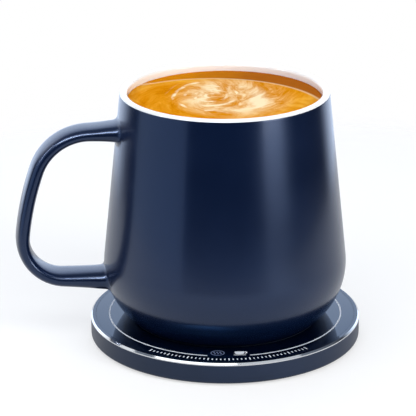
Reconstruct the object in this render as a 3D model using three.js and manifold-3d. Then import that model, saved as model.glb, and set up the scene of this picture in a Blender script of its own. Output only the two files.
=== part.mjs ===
// A mug warmer: a slim round induction plate and the ceramic mug that it keeps warm.
// Millimetres, +Z up. The origin is the centre of the face that the plate stands on.
// The plate's front, with its status lights, looks along -Y, and its power inlet is at +Y.

import * as THREE from "three";
import { mergeVertices } from "three/addons/utils/BufferGeometryUtils.js";
import Module from "manifold-3d";

const wasm = await Module();
wasm.setup();

// Fits
const fitGap = 0.3; // between pieces that drop into one another
const screwGap = 0.15; // round a screw's shank and head
const joinOverlap = 0.25; // how deep a joined boss starts inside what carries it
const cutOverrun = 1; // how far a cutting solid runs past what it cuts

// Plate wall and bezel
const plateRadius = 55;
const wallThickness = 2;
const footFillet = 1.25;
const bezelHeight = 1;
const bezelFlat = 1;

// Base cover and pad
const padProud = 0.75;
const padSeatDepth = 0.5;
const padRimWidth = 1.2;
const padChamfer = 0.25;
const baseThickness = 1.5;
const ribHeight = 1.5;
const ribInset = 10.6; // from the carrier's rim to the middle of the rib under it
const ribWidth = 1.5;

// Housing screws
const housingScrewCount = 4;
const housingScrewStart = 45;
const screwHeadRadius = 1.9;
const screwHeadHeight = 1;
const screwShankRadius = 0.85;
const screwDriveRadius = 0.9;
const screwDriveDepth = 0.5;
const screwEngagement = 2.75;
const wellRise = 1;
const wellWall = 0.95;
const wellRoof = 0.75;
const bossRadius = 2.8;
const bossInset = 3.5;
const bossRoof = 1;

// Glass and what carries it
const glassThickness = 1.75;
const glassBevel = 0.5;
const gasketThickness = 0.25;
const gasketMargin = 0.5;
const ledgeWidth = 4;
const ledgeThickness = 1.5;
const sheetThickness = 0.5;

// Coil stack
const carrierFloor = 0.75;
const carrierRimWidth = 1.5;
const ferriteThickness = 1;
const ferriteMargin = 1.1;
const wireDiameter = 1;
const turnGap = 1; // at the least; the turns fill the room that the board leaves
const coilInnerRadius = 8;
const coilLift = 0.625;
const coilHeadroom = 0.125;
const leadLift = 0.1;
const leadBend = 2;
const leadAngle = 200; // degrees round the plate
const leadSpread = 24; // degrees between the two leads
const leadSlotGap = 0.5;
const leadLanding = 5;
const leadDropRun = 3;
const risePart = 75; // degrees of the first turn over which the wire climbs
const followShare = 5; // wire diameters along the wire within which it follows itself

// Circuit board
const boardBossHeight = 1;
const boardBossRadius = 2.2;
const boardThickness = 1;
const boardWidth = 13.4;
const boardGap = 1.2; // round the coil's carrier
const boardScrewCount = 3;
const boardScrewStart = 35;
const boardScrewInset = 4;
const boardHeadRadius = 1.7;
const boardHeadHeight = 0.8;
const boardShankRadius = 0.8;
const boardShankLength = 2.25;
const boardFloorSkin = 0.5;
const padLandThickness = 0.25;
const padLandWidth = 2;
const padLandLength = 3.5;

// Parts on the board
const inductorSize = 7;
const inductorHeight = 2.2;
const inductorCorner = 1.4;
const capacitorLength = 4.6;
const capacitorWidth = 2.6;
const capacitorHeight = 2;
const transistorLength = 5;
const transistorWidth = 6;
const transistorHeight = 1;
const chipSize = 5;
const chipHeight = 0.9;
const chipCorner = 0.3;
const thermistorRadius = 1.4;
const thermistorHeight = 0.75;
const thermistorPadRadius = 3;

// Status lights
const lightSpread = 4.3; // each light from the middle line
const lightLength = 3;
const lightWidth = 1.5;
const lightHeight = 0.75;
const guideWidth = 3;
const guideLength = 14;
const guideInset = 1.8;
const guideHeadroom = 0.25;
const guidePocketGap = 0.25;

// Power inlet
const inletWidth = 8.94;
const inletHeight = 3.16;
const inletDepth = 7.3;
const inletWall = 0.3;
const inletSetback = 0.6;
const inletLift = 0.3;
const inletSlack = 0.25;
const inletEarLength = 2.6;
const inletEarReach = 1.8;
const inletEarThickness = 0.3;
const inletEarSetback = 3.2;
const tabArm = 2.8;
const tabClearance = 1.5;
const contactWidth = 6.6;
const contactThickness = 0.7;
const contactSetback = 1;
const contactPlug = 1.6;

// Mug body
const mugHeight = 94.6;
const mugTurn = 6.5; // degrees that the handle is turned toward the front
const rimRadius = 41.85;
const bellyRadius = 49.2;
const cornerRadius = 29;
const bellyTurn = 50.8; // degrees that the belly turns under, from its widest place to the foot
const mugWall = 4;
const lipThickness = 3.2;
const lipBlendDepth = 30;
const footRounding = 1.5;
const footWidth = 3.4;
const floorThickness = 4;
const cupFilletRadius = 12;

// Warming parts in the mug's foot
const sealSetback = 0.75; // above the face that the mug stands on
const sealThickness = 0.75;
const sealRimWidth = 2.2;
const discThickness = 1;
const bondThickness = 0.5;

// Mug handle, measured to the middle of the strap
const handleTopDrop = 15.2; // from the rim to the level top arm
const handleLowHeight = 18.85; // of the lowest point of the low bend's circle
const handleLowSlope = 4; // degrees that the low arm falls, from its bend to the wall
const handleRoom = 32.7; // outward from the belly
const handleLean = 5.15; // how much further out the low bend reaches than the top one
const handleTopRadius = 21.9;
const handleRunRadius = 123; // the gentle bow between the two bends
const handleLowRadius = 17;
const strapWidth = 14.6;
const strapThickness = 5.55;
const strapRoot = 3; // how deep the strap starts inside the wall
const strapSquareness = 3.2;
const topFlareReach = 16; // from the wall, over which the strap thickens
const topFlareShare = 0.4;
const lowFlareReach = 33;
const lowFlareShare = 0.5;
const sideFlareReach = 7; // from the wall, over which the strap widens
const sideFlareShare = 0.12;

// Facets
const roundSteps = 60;
const innerSteps = 40;
const ribSteps = 20;
const smallSteps = 12;
const driveSides = 6;
const filletSteps = 3;
const beadSteps = 3;
const bellySteps = 7;
const cupSteps = 5;
const cupBellySteps = 3;
const mouthSteps = 6;
const blockCornerSteps = 2;
const coilSteps = 24;
const wireSides = 6;
const leadSteps = 4;
const dropSteps = 5;
const strapSides = 16;
const strapEndSteps = 5;
const topBendSteps = 7;
const bowSteps = 3;
const lowBendSteps = 8;

// Levels of the plate, from the surface that it stands on
const baseTop = padProud + baseThickness;
const padSeatTop = padProud + padSeatDepth;
const ribTop = baseTop + ribHeight;
const carrierTop = ribTop + carrierFloor;
const ferriteTop = carrierTop + ferriteThickness;
const wireRadius = wireDiameter / 2;
const coilCentre = ferriteTop + coilLift + wireRadius;
const leadCentre = carrierTop + leadLift + wireRadius;
const sheetBottom = coilCentre + wireRadius + coilHeadroom;
const glassBottom = sheetBottom + sheetThickness;
const glassTop = glassBottom + glassThickness;
const ledgeTop = glassBottom - gasketThickness;
const ledgeBottom = ledgeTop - ledgeThickness;
const housingTop = glassTop - bezelHeight;
const wellTop = baseTop + wellRise;
const headSeat = wellTop - wellRoof;
const boardBottom = baseTop + boardBossHeight;
const boardTop = boardBottom + boardThickness;

// Radii of the plate, from the wall inward
const wallInner = plateRadius - wallThickness;
const baseRadius = wallInner - fitGap;
const glassRadius = wallInner - fitGap;
const ledgeInner = wallInner - ledgeWidth;
const padSeatRadius = baseRadius - padRimWidth;
const padRadius = padSeatRadius - fitGap;
const bossCircle = wallInner - bossInset;
const boardOuter = bossCircle - Math.max(bossRadius, screwHeadRadius + screwGap + wellWall) - fitGap;
const boardInner = boardOuter - boardWidth;
const boardMiddle = (boardInner + boardOuter) / 2;
const boardScrewCircle = boardInner + boardScrewInset;
const guideCircle = boardOuter - guideInset;
const sheetRadius = guideCircle - guideWidth / 2 - fitGap;
const leadEnd = boardInner + leadLanding;
const carrierRadius = boardInner - boardGap;
const carrierRimInner = carrierRadius - carrierRimWidth;
const ribRadius = carrierRadius - ribInset;
const ferriteRadius = carrierRimInner - fitGap;
const ferriteHole = coilInnerRadius + wireRadius + leadSlotGap;

// The coil has as many whole turns as fit, and the part turn between its leads
const coilOuterRadius = ferriteRadius - ferriteMargin - wireRadius;
const coilRoom = coilOuterRadius - coilInnerRadius;
const partTurn = leadSpread / 360;
const coilTurns = Math.floor(coilRoom / (wireDiameter + turnGap) - partTurn) + partTurn;
const coilPitch = coilRoom / coilTurns;
const spiralAngle = 2 * Math.PI * coilTurns;

// Inlet
const inletCentre = baseTop + inletLift + inletHeight / 2;
const inletMouth = plateRadius - inletSetback;
const inletRear = inletMouth - inletDepth;
const notchHalf = inletWidth / 2 + fitGap;
const tabHalf = notchHalf + tabArm;
const tabEnd = wallInner - tabClearance;

const materials = {
  satinWall: new THREE.MeshStandardMaterial({ color: 0x30344a, roughness: 0.45, metalness: 0.2 }),
  polishedMetal: new THREE.MeshStandardMaterial({ color: 0xd9dde2, roughness: 0.12, metalness: 1 }),
  darkGlass: new THREE.MeshStandardMaterial({ color: 0x050a18, roughness: 0.05, metalness: 0 }),
  blackPlastic: new THREE.MeshStandardMaterial({ color: 0x1b1d22, roughness: 0.6, metalness: 0 }),
  silicone: new THREE.MeshStandardMaterial({ color: 0x2a2c31, roughness: 0.85, metalness: 0 }),
  mica: new THREE.MeshStandardMaterial({ color: 0xb9a27c, roughness: 0.5, metalness: 0 }),
  copperWire: new THREE.MeshStandardMaterial({ color: 0xb5673a, roughness: 0.4, metalness: 0.8 }),
  ferrite: new THREE.MeshStandardMaterial({ color: 0x3a3a3d, roughness: 0.7, metalness: 0.1 }),
  boardGreen: new THREE.MeshStandardMaterial({ color: 0x1e5a3c, roughness: 0.5, metalness: 0 }),
  solder: new THREE.MeshStandardMaterial({ color: 0xb8bcc0, roughness: 0.3, metalness: 1 }),
  component: new THREE.MeshStandardMaterial({ color: 0x202226, roughness: 0.55, metalness: 0 }),
  capacitor: new THREE.MeshStandardMaterial({ color: 0xa98a5c, roughness: 0.5, metalness: 0 }),
  steel: new THREE.MeshStandardMaterial({ color: 0xa7abb0, roughness: 0.35, metalness: 1 }),
  lamp: new THREE.MeshStandardMaterial({ color: 0xf2f0dc, roughness: 0.3, metalness: 0 }),
  clearGuide: new THREE.MeshStandardMaterial({ color: 0xdfe6ea, roughness: 0.1, metalness: 0 }),
  navyGlaze: new THREE.MeshStandardMaterial({ color: 0x28344e, roughness: 0.35, metalness: 0 }),
};

// Merges a geometry's shared corners, drops empty triangles and turns its faces outward.
function closed(geometry) {
  const bare = geometry.clone();
  bare.deleteAttribute("normal");
  bare.deleteAttribute("uv");
  const merged = mergeVertices(bare);
  const place = merged.attributes.position;
  const corners = [0, 1, 2].map(() => new THREE.Vector3());
  const kept = [];
  let volume = 0;
  for (let i = 0; i < merged.index.count; i += 3) {
    const triple = [0, 1, 2].map((k) => merged.index.getX(i + k));
    if (new Set(triple).size < 3) continue;
    kept.push(triple);
    triple.forEach((at, k) => corners[k].fromBufferAttribute(place, at));
    volume += corners[0].dot(corners[1].clone().cross(corners[2]));
  }
  const outward = volume < 0 ? kept.map(([a, b, c]) => [a, c, b]) : kept;
  merged.setIndex(outward.flat());
  return merged;
}

// Turns a closed geometry into a solid that can be joined and cut.
function solid(geometry) {
  const { attributes, index } = closed(geometry);
  const data = {
    numProp: 3,
    vertProperties: new Float32Array(attributes.position.array),
    triVerts: new Uint32Array(index.array),
  };
  return new wasm.Manifold(new wasm.Mesh(data));
}

function geometryOf(body) {
  const data = body.getMesh();
  const geometry = new THREE.BufferGeometry();
  geometry.setAttribute("position", new THREE.BufferAttribute(data.vertProperties, data.numProp));
  geometry.setIndex(new THREE.BufferAttribute(data.triVerts, 1));
  return geometry;
}

function joined(bodies) {
  return bodies.reduce((sum, body) => sum.add(body));
}

function cut(body, cutters) {
  return cutters.reduce((rest, cutter) => rest.subtract(cutter), body);
}

function piece(name, geometry, material) {
  const mesh = new THREE.Mesh(closed(geometry), material);
  mesh.name = name;
  return mesh;
}

// Revolves [radius, height] points round Z. The outline starts and ends on the axis, or closes on itself.
function revolve(outline, steps = roundSteps) {
  const points = outline.map(([radius, height]) => new THREE.Vector2(radius, height));
  return new THREE.LatheGeometry(points, steps).rotateX(Math.PI / 2);
}

function ring(inner, outer, low, high, steps = roundSteps) {
  const outline = [
    [inner, low],
    [outer, low],
    [outer, high],
    [inner, high],
    [inner, low],
  ];
  return revolve(outline, steps);
}

function disc(radius, low, high, steps = roundSteps) {
  const outline = [
    [0, low],
    [radius, low],
    [radius, high],
    [0, high],
  ];
  return revolve(outline, steps);
}

function post(radius, low, high, x, y, steps = smallSteps) {
  return disc(radius, low, high, steps).translate(x, y, 0);
}

function block(xRange, yRange, zRange) {
  const [sx, sy, sz] = [xRange, yRange, zRange].map(([low, high]) => high - low);
  const [mx, my, mz] = [xRange, yRange, zRange].map(([low, high]) => (low + high) / 2);
  return new THREE.BoxGeometry(sx, sy, sz).translate(mx, my, mz);
}

// Points of an arc about a centre, from one angle to another, in degrees.
function arc(centreX, centreY, radius, from, to, steps) {
  const points = [];
  for (let i = 0; i <= steps; i += 1) {
    const angle = THREE.MathUtils.degToRad(from + ((to - from) * i) / steps);
    points.push([centreX + radius * Math.cos(angle), centreY + radius * Math.sin(angle)]);
  }
  return points;
}

// Places round a circle, evenly spaced from a first angle in degrees.
function roundPlaces(count, radius, start) {
  return Array.from({ length: count }, (_, i) => {
    const angle = THREE.MathUtils.degToRad(start + (360 * i) / count);
    return [radius * Math.cos(angle), radius * Math.sin(angle)];
  });
}

// A flat-sided slot with round ends, lying across X and standing along Z, run along Y.
function stadium(width, height, nearY, farY, centreZ) {
  const radius = height / 2;
  const half = width / 2 - radius;
  const outline = new THREE.Shape();
  outline.absarc(half, 0, radius, -Math.PI / 2, Math.PI / 2, false);
  outline.absarc(-half, 0, radius, Math.PI / 2, (3 * Math.PI) / 2, false);
  const options = { depth: farY - nearY, bevelEnabled: false, curveSegments: mouthSteps };
  const prism = new THREE.ExtrudeGeometry(outline, options);
  return prism.rotateX(Math.PI / 2).translate(0, farY, centreZ);
}

function roundedBlock(length, width, corner, height) {
  const outline = new THREE.Shape();
  const [x, y] = [length / 2 - corner, width / 2 - corner];
  outline.absarc(x, y, corner, 0, Math.PI / 2, false);
  outline.absarc(-x, y, corner, Math.PI / 2, Math.PI, false);
  outline.absarc(-x, -y, corner, Math.PI, (3 * Math.PI) / 2, false);
  outline.absarc(x, -y, corner, (3 * Math.PI) / 2, 2 * Math.PI, false);
  const options = { depth: height, bevelEnabled: false, curveSegments: blockCornerSteps };
  return new THREE.ExtrudeGeometry(outline, options);
}

// Skins rings of equal count, one after another, and closes both ends.
function skin(rings) {
  const sides = rings[0].length;
  const corners = rings.flat().flatMap((corner) => corner.toArray());
  const faces = [];
  for (let i = 0; i + 1 < rings.length; i += 1) {
    for (let k = 0; k < sides; k += 1) {
      const [a, b] = [i * sides + k, i * sides + ((k + 1) % sides)];
      faces.push(a, b, b + sides, a, b + sides, a + sides);
    }
  }
  const last = (rings.length - 1) * sides;
  for (let k = 1; k + 1 < sides; k += 1) {
    faces.push(0, k + 1, k);
    faces.push(last, last + k, last + k + 1);
  }
  const geometry = new THREE.BufferGeometry();
  geometry.setAttribute("position", new THREE.Float32BufferAttribute(corners, 3));
  geometry.setIndex(faces);
  return geometry;
}

// Sweeps a section along a path. Section points are [across, along the axis direction].
function sweep(path, axis, sectionAt) {
  const rings = path.map((centre, i) => {
    const before = path[Math.max(i - 1, 0)];
    const after = path[Math.min(i + 1, path.length - 1)];
    const ahead = after.clone().sub(before).normalize();
    const across = axis.clone().cross(ahead).normalize();
    const upward = ahead.clone().cross(across);
    return sectionAt(i).map(([u, v]) => {
      return centre.clone().addScaledVector(across, u).addScaledVector(upward, v);
    });
  });
  return skin(rings);
}

function smoothStep(share) {
  return share * share * (3 - 2 * share);
}

// Plate shell

function housingRing() {
  const wall = revolve([
    [wallInner, padProud],
    ...arc(plateRadius - footFillet, padProud + footFillet, footFillet, -90, 0, filletSteps),
    [plateRadius, housingTop],
    [wallInner, housingTop],
    [wallInner, ledgeTop],
    [ledgeInner, ledgeTop],
    [ledgeInner, ledgeBottom],
    [wallInner, ledgeBottom],
    [wallInner, padProud],
  ]);
  const places = roundPlaces(housingScrewCount, bossCircle, housingScrewStart);
  const bosses = places.map(([x, y]) => solid(post(bossRadius, wellTop, ledgeTop, x, y)));
  const pilots = places.map(([x, y]) => {
    return solid(post(screwShankRadius + screwGap, wellTop - cutOverrun, ledgeTop - bossRoof, x, y));
  });
  const aperture = solid(
    stadium(
      inletWidth + 2 * inletSlack,
      inletHeight + 2 * inletSlack,
      ledgeInner - cutOverrun,
      plateRadius + cutOverrun,
      inletCentre,
    ),
  );
  const body = cut(joined([solid(wall), ...bosses]), [...pilots, aperture]);
  return piece("housing_ring", geometryOf(body), materials.satinWall);
}

function bezelRing() {
  const outline = [
    [wallInner, housingTop],
    [plateRadius, housingTop],
    [wallInner + bezelFlat, glassTop],
    [wallInner, glassTop],
    [wallInner, housingTop],
  ];
  return piece("bezel_ring", revolve(outline), materials.polishedMetal);
}

function glassPieces() {
  const glass = revolve([
    [0, glassBottom],
    [glassRadius, glassBottom],
    [glassRadius, glassTop - glassBevel],
    [glassRadius - glassBevel, glassTop],
    [0, glassTop],
  ]);
  const [gasketInner, gasketOuter] = [ledgeInner + gasketMargin, glassRadius - gasketMargin];
  const gasket = ring(gasketInner, gasketOuter, ledgeTop, glassBottom, innerSteps);
  const sheet = disc(sheetRadius, sheetBottom, glassBottom, innerSteps);
  return [
    piece("glass_top", glass, materials.darkGlass),
    piece("glass_gasket", gasket, materials.blackPlastic),
    piece("insulation_sheet", sheet, materials.mica),
  ];
}

function baseCover() {
  const floor = revolve([
    [0, padSeatTop],
    [padSeatRadius, padSeatTop],
    [padSeatRadius, padProud],
    [baseRadius, padProud],
    [baseRadius, baseTop],
    [0, baseTop],
  ]);
  const root = baseTop - joinOverlap;
  const rib = ring(ribRadius - ribWidth / 2, ribRadius + ribWidth / 2, root, ribTop, ribSteps);
  const housingPlaces = roundPlaces(housingScrewCount, bossCircle, housingScrewStart);
  const boardPlaces = roundPlaces(boardScrewCount, boardScrewCircle, boardScrewStart);
  const headBore = screwHeadRadius + screwGap;
  const wells = housingPlaces.map(([x, y]) => solid(post(headBore + wellWall, root, wellTop, x, y)));
  const posts = boardPlaces.map(([x, y]) => solid(post(boardBossRadius, root, boardBottom, x, y)));
  const bores = housingPlaces.flatMap(([x, y]) => [
    solid(post(headBore, padProud - cutOverrun, headSeat, x, y)),
    solid(post(screwShankRadius + screwGap, padProud, wellTop + cutOverrun, x, y)),
  ]);
  const pilots = boardPlaces.map(([x, y]) => {
    const low = padSeatTop + boardFloorSkin;
    return solid(post(boardShankRadius + screwGap, low, boardBottom + cutOverrun, x, y));
  });
  const body = cut(joined([solid(floor), solid(rib), ...wells, ...posts]), [...bores, ...pilots]);
  return piece("base_cover", geometryOf(body), materials.blackPlastic);
}

function antiSlipPad() {
  const outline = [
    [0, 0],
    [padRadius - padChamfer, 0],
    [padRadius, padChamfer],
    [padRadius, padSeatTop],
    [0, padSeatTop],
  ];
  return piece("anti_slip_pad", revolve(outline), materials.silicone);
}

// Screws, with a six-sided drive recess in the head

function screw(name, seat, headTop, shankTip, headRadius, shankRadius) {
  const up = Math.sign(headTop - seat);
  const [headLow, headHigh] = [Math.min(seat, headTop), Math.max(seat, headTop)];
  const root = seat + (up * Math.abs(headTop - seat)) / 2;
  const [shankLow, shankHigh] = [Math.min(shankTip, root), Math.max(shankTip, root)];
  const depth = Math.min(screwDriveDepth, Math.abs(headTop - seat) / 2);
  const [driveLow, driveHigh] = [headTop - up * depth, headTop + up * cutOverrun].sort((a, b) => a - b);
  const head = solid(disc(headRadius, headLow, headHigh, smallSteps));
  const shank = solid(disc(shankRadius, shankLow, shankHigh, smallSteps));
  const drive = solid(disc(screwDriveRadius, driveLow, driveHigh, driveSides));
  return piece(name, geometryOf(cut(joined([head, shank]), [drive])), materials.steel);
}

function screws() {
  const housing = roundPlaces(housingScrewCount, bossCircle, housingScrewStart).map(([x, y], i) => {
    const headTop = headSeat - screwHeadHeight;
    const tip = wellTop + screwEngagement;
    const name = `housing_screw_${i + 1}`;
    const mesh = screw(name, headSeat, headTop, tip, screwHeadRadius, screwShankRadius);
    mesh.position.set(x, y, 0);
    return mesh;
  });
  const board = roundPlaces(boardScrewCount, boardScrewCircle, boardScrewStart).map(([x, y], i) => {
    const headTop = boardTop + boardHeadHeight;
    const tip = boardTop - boardShankLength;
    const name = `board_screw_${i + 1}`;
    const mesh = screw(name, boardTop, headTop, tip, boardHeadRadius, boardShankRadius);
    mesh.position.set(x, y, 0);
    return mesh;
  });
  return [...housing, ...board];
}

// Coil stack

function coilPath() {
  const points = [];
  const place = (x, y, z, turned = 0) => {
    const spin = THREE.MathUtils.degToRad(leadAngle) + turned;
    points.push(new THREE.Vector3(x, y, z).applyAxisAngle(new THREE.Vector3(0, 0, 1), spin));
  };
  // The inner lead runs under the turns and bends into the first of them.
  place(leadEnd, 0, leadCentre);
  place(leadEnd - wireDiameter, 0, leadCentre);
  place(carrierRadius, 0, leadCentre);
  const inward = arc(coilInnerRadius + leadBend, leadBend, leadBend, -90, -180, leadSteps);
  inward.slice(0, -1).forEach(([x, y]) => place(x, y, leadCentre));
  // The spiral climbs off the lead in its first part and then lies flat.
  const start = Math.atan2(leadBend, coilInnerRadius);
  const rise = THREE.MathUtils.degToRad(risePart);
  const count = Math.round(((spiralAngle - start) / (2 * Math.PI)) * coilSteps);
  for (let i = 0; i <= count; i += 1) {
    const angle = start + ((spiralAngle - start) * i) / count;
    const radius = coilInnerRadius + (coilPitch * angle) / (2 * Math.PI);
    const climbed = smoothStep(Math.min((angle - start) / (rise - start), 1));
    const height = leadCentre + (coilCentre - leadCentre) * climbed;
    place(radius * Math.cos(angle), radius * Math.sin(angle), height);
  }
  // The outer lead bends outward, passes over the carrier's rim and drops to the board.
  const outward = arc(coilOuterRadius + leadBend, 0, leadBend, 180, 90, leadSteps);
  outward.slice(1).forEach(([x, y]) => place(x, y, coilCentre, spiralAngle));
  const dropStart = Math.max(carrierRadius, coilOuterRadius + leadBend + fitGap);
  for (let i = 0; i <= dropSteps; i += 1) {
    const share = i / dropSteps;
    const height = coilCentre + (leadCentre - coilCentre) * smoothStep(share);
    place(dropStart + leadDropRun * share, leadBend, height, spiralAngle);
  }
  place(leadEnd - wireDiameter, leadBend, leadCentre, spiralAngle);
  place(leadEnd, leadBend, leadCentre, spiralAngle);
  return points;
}

// Least clear distance between stretches of the wire that do not follow one another.
function leastSelfGap(points, diameter) {
  let least = Infinity;
  const along = [0];
  points.forEach((point, i) => {
    if (i > 0) along.push(along[i - 1] + point.distanceTo(points[i - 1]));
  });
  for (let i = 0; i < points.length; i += 1) {
    for (let k = i + 2; k + 1 < points.length; k += 1) {
      if (along[k] - along[i] < followShare * diameter) continue;
      const stretch = new THREE.Line3(points[k], points[k + 1]);
      const nearest = stretch.closestPointToPoint(points[i], true, new THREE.Vector3());
      least = Math.min(least, nearest.distanceTo(points[i]) - diameter);
    }
  }
  return least;
}

function inductionCoil() {
  const path = coilPath();
  console.log(`least gap between the coil's turns: ${leastSelfGap(path, wireDiameter).toFixed(2)} mm`);
  const section = arc(0, 0, wireRadius, 90, 450, wireSides).slice(0, -1);
  const wire = sweep(path, new THREE.Vector3(0, 0, 1), () => section);
  return piece("induction_coil", wire, materials.copperWire);
}

function leadSlot(high) {
  const half = wireRadius + leadSlotGap;
  const cutter = block([0, leadEnd], [-half, half], [carrierTop, high + cutOverrun]);
  return solid(cutter.rotateZ(THREE.MathUtils.degToRad(leadAngle)));
}

function coilSeat() {
  const ferrite = solid(ring(ferriteHole, ferriteRadius, carrierTop, ferriteTop, innerSteps));
  const dishOutline = [
    [0, ribTop],
    [carrierRadius, ribTop],
    [carrierRadius, ferriteTop],
    [carrierRimInner, ferriteTop],
    [carrierRimInner, carrierTop],
    [0, carrierTop],
  ];
  const dish = solid(revolve(dishOutline, innerSteps));
  const slotted = cut(ferrite, [leadSlot(ferriteTop).add(leadSlot(carrierTop - 2 * cutOverrun))]);
  return [
    piece("ferrite_ring", geometryOf(slotted), materials.ferrite),
    piece("coil_carrier", geometryOf(cut(dish, [leadSlot(ferriteTop)])), materials.blackPlastic),
  ];
}

function thermistorPieces() {
  const bottom = sheetBottom - thermistorHeight;
  return [
    piece("thermistor", disc(thermistorRadius, bottom, sheetBottom, smallSteps), materials.component),
    piece("thermistor_pad", disc(thermistorPadRadius, carrierTop, bottom, smallSteps), materials.silicone),
  ];
}

// Circuit board and its parts

function mainBoard() {
  const annulus = solid(ring(boardInner, boardOuter, boardBottom, boardTop, innerSteps));
  const tab = solid(block([-tabHalf, tabHalf], [boardMiddle, tabEnd], [boardBottom, boardTop]));
  const notch = block(
    [-notchHalf, notchHalf],
    [inletRear - fitGap, tabEnd + cutOverrun],
    [boardBottom - cutOverrun, boardTop + cutOverrun],
  );
  const holes = roundPlaces(boardScrewCount, boardScrewCircle, boardScrewStart).map(([x, y]) => {
    const radius = boardShankRadius + screwGap;
    return solid(post(radius, boardBottom - cutOverrun, boardTop + cutOverrun, x, y));
  });
  const body = cut(joined([annulus, tab]), [solid(notch), ...holes]);
  return piece("main_board", geometryOf(body), materials.boardGreen);
}

// Sets a piece on the board, its middle at a radius and an angle in degrees.
function onBoard(mesh, radius, angle) {
  const turned = THREE.MathUtils.degToRad(angle);
  mesh.position.set(radius * Math.cos(turned), radius * Math.sin(turned), boardTop);
  mesh.rotation.z = turned;
  return mesh;
}

function boardParts() {
  const inductor = roundedBlock(inductorSize, inductorSize, inductorCorner, inductorHeight);
  const capacitor = () => roundedBlock(capacitorWidth, capacitorLength, chipCorner, capacitorHeight);
  const transistor = () => roundedBlock(transistorWidth, transistorLength, chipCorner, transistorHeight);
  const chip = roundedBlock(chipSize, chipSize, chipCorner, chipHeight);
  // Name, shape, material and degrees round the board
  const placed = [
    ["power_inductor", inductor, materials.component, 128],
    ["capacitor_1", capacitor(), materials.capacitor, 146],
    ["capacitor_2", capacitor(), materials.capacitor, 170],
    ["capacitor_3", capacitor(), materials.capacitor, 182],
    ["transistor_1", transistor(), materials.component, 53],
    ["transistor_2", transistor(), materials.component, 68],
    ["controller_chip", chip, materials.component, 330],
  ];
  return placed.map(([name, shape, material, angle]) => {
    return onBoard(piece(name, shape, material), boardMiddle, angle);
  });
}

function coilPads() {
  const middle = leadEnd - padLandLength / 2;
  const shape = (shift) => {
    const [low, high] = [shift - padLandWidth / 2, shift + padLandWidth / 2];
    const half = padLandLength / 2;
    return block([-half, half], [low, high], [0, padLandThickness]);
  };
  const outerAngle = leadAngle + THREE.MathUtils.radToDeg(spiralAngle);
  return [
    onBoard(piece("coil_pad_inner", shape(0), materials.solder), middle, leadAngle),
    onBoard(piece("coil_pad_outer", shape(leadBend), materials.solder), middle, outerAngle),
  ];
}

function statusLights() {
  const lights = [
    ["status_light_left", -lightSpread],
    ["status_light_right", lightSpread],
  ].map(([name, x]) => {
    const xRange = [x - lightLength / 2, x + lightLength / 2];
    const yRange = [-guideCircle - lightWidth / 2, -guideCircle + lightWidth / 2];
    const mesh = piece(name, block(xRange, yRange, [0, lightHeight]), materials.lamp);
    mesh.position.z = boardTop;
    return mesh;
  });
  const body = block(
    [-guideLength / 2, guideLength / 2],
    [-guideCircle - guideWidth / 2, -guideCircle + guideWidth / 2],
    [boardTop, glassBottom - guideHeadroom],
  );
  const pockets = [-lightSpread, lightSpread].map((x) => {
    const half = lightLength / 2 + guidePocketGap;
    const depth = lightWidth / 2 + guidePocketGap;
    const yRange = [-guideCircle - depth, -guideCircle + depth];
    const zRange = [boardTop - cutOverrun, boardTop + lightHeight + guidePocketGap];
    return solid(block([x - half, x + half], yRange, zRange));
  });
  return [...lights, piece("light_guide", geometryOf(cut(solid(body), pockets)), materials.clearGuide)];
}

// Power inlet: a round-ended metal shell held by two ears on the board's tab

function powerInlet() {
  const outside = solid(stadium(inletWidth, inletHeight, inletRear, inletMouth, inletCentre));
  const boreWidth = inletWidth - 2 * inletWall;
  const boreHeight = inletHeight - 2 * inletWall;
  const bore = solid(
    stadium(boreWidth, boreHeight, inletRear - cutOverrun, inletMouth + cutOverrun, inletCentre),
  );
  const earY = [inletMouth - inletEarSetback - inletEarLength, inletMouth - inletEarSetback];
  const earZ = [boardTop, boardTop + inletEarThickness];
  const ears = [-1, 1].map((side) => {
    const reach = side * (inletWidth / 2 + inletEarReach);
    const root = side * (inletWidth / 2 - inletHeight / 2);
    return solid(block([root, reach].sort((a, b) => a - b), earY, earZ));
  });
  const shell = cut(joined([outside, ...ears]), [bore]);
  const plugWidth = boreWidth - 2 * screwGap;
  const plugHeight = boreHeight - 2 * screwGap;
  const plug = solid(stadium(plugWidth, plugHeight, inletRear, inletRear + contactPlug, inletCentre));
  const tongue = block(
    [-contactWidth / 2, contactWidth / 2],
    [inletRear + contactPlug / 2, inletMouth - contactSetback],
    [inletCentre - contactThickness / 2, inletCentre + contactThickness / 2],
  );
  return [
    piece("inlet_shell", geometryOf(shell), materials.steel),
    piece("inlet_contact_block", geometryOf(joined([plug, solid(tongue)])), materials.blackPlastic),
  ];
}

// Mug: heights are from the face that it stands on

const sealTop = sealSetback + sealThickness;
const bondBottom = sealTop + discThickness;
const recessDepth = bondBottom + bondThickness;
const cupFloor = recessDepth + floorThickness;
// The belly's arc turns under until it meets the foot's rounding, which ends in the flat face.
const turnUnder = THREE.MathUtils.degToRad(bellyTurn);
const footReach = cornerRadius - footRounding;
const bellyCentreX = bellyRadius - cornerRadius;
const bellyHeight = footRounding + footReach * Math.sin(turnUnder);
const footRadius = bellyCentreX + footReach * Math.cos(turnUnder);
// The cup's fillet touches the floor and the belly's inner arc.
const innerRadius = cornerRadius - mugWall;
const cupCentreZ = cupFloor + cupFilletRadius;
const cupCentreX =
  bellyCentreX + Math.sqrt((innerRadius - cupFilletRadius) ** 2 - (bellyHeight - cupCentreZ) ** 2);
const lipRadius = lipThickness / 2;
const lipBase = mugHeight - lipRadius;
const wallLean = leanAngle();
const handleTopHeight = mugHeight - handleTopDrop;
const handleReach = bellyRadius + handleRoom;
const handleTopCentre = handleReach - handleTopRadius - handleLean;

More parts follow.
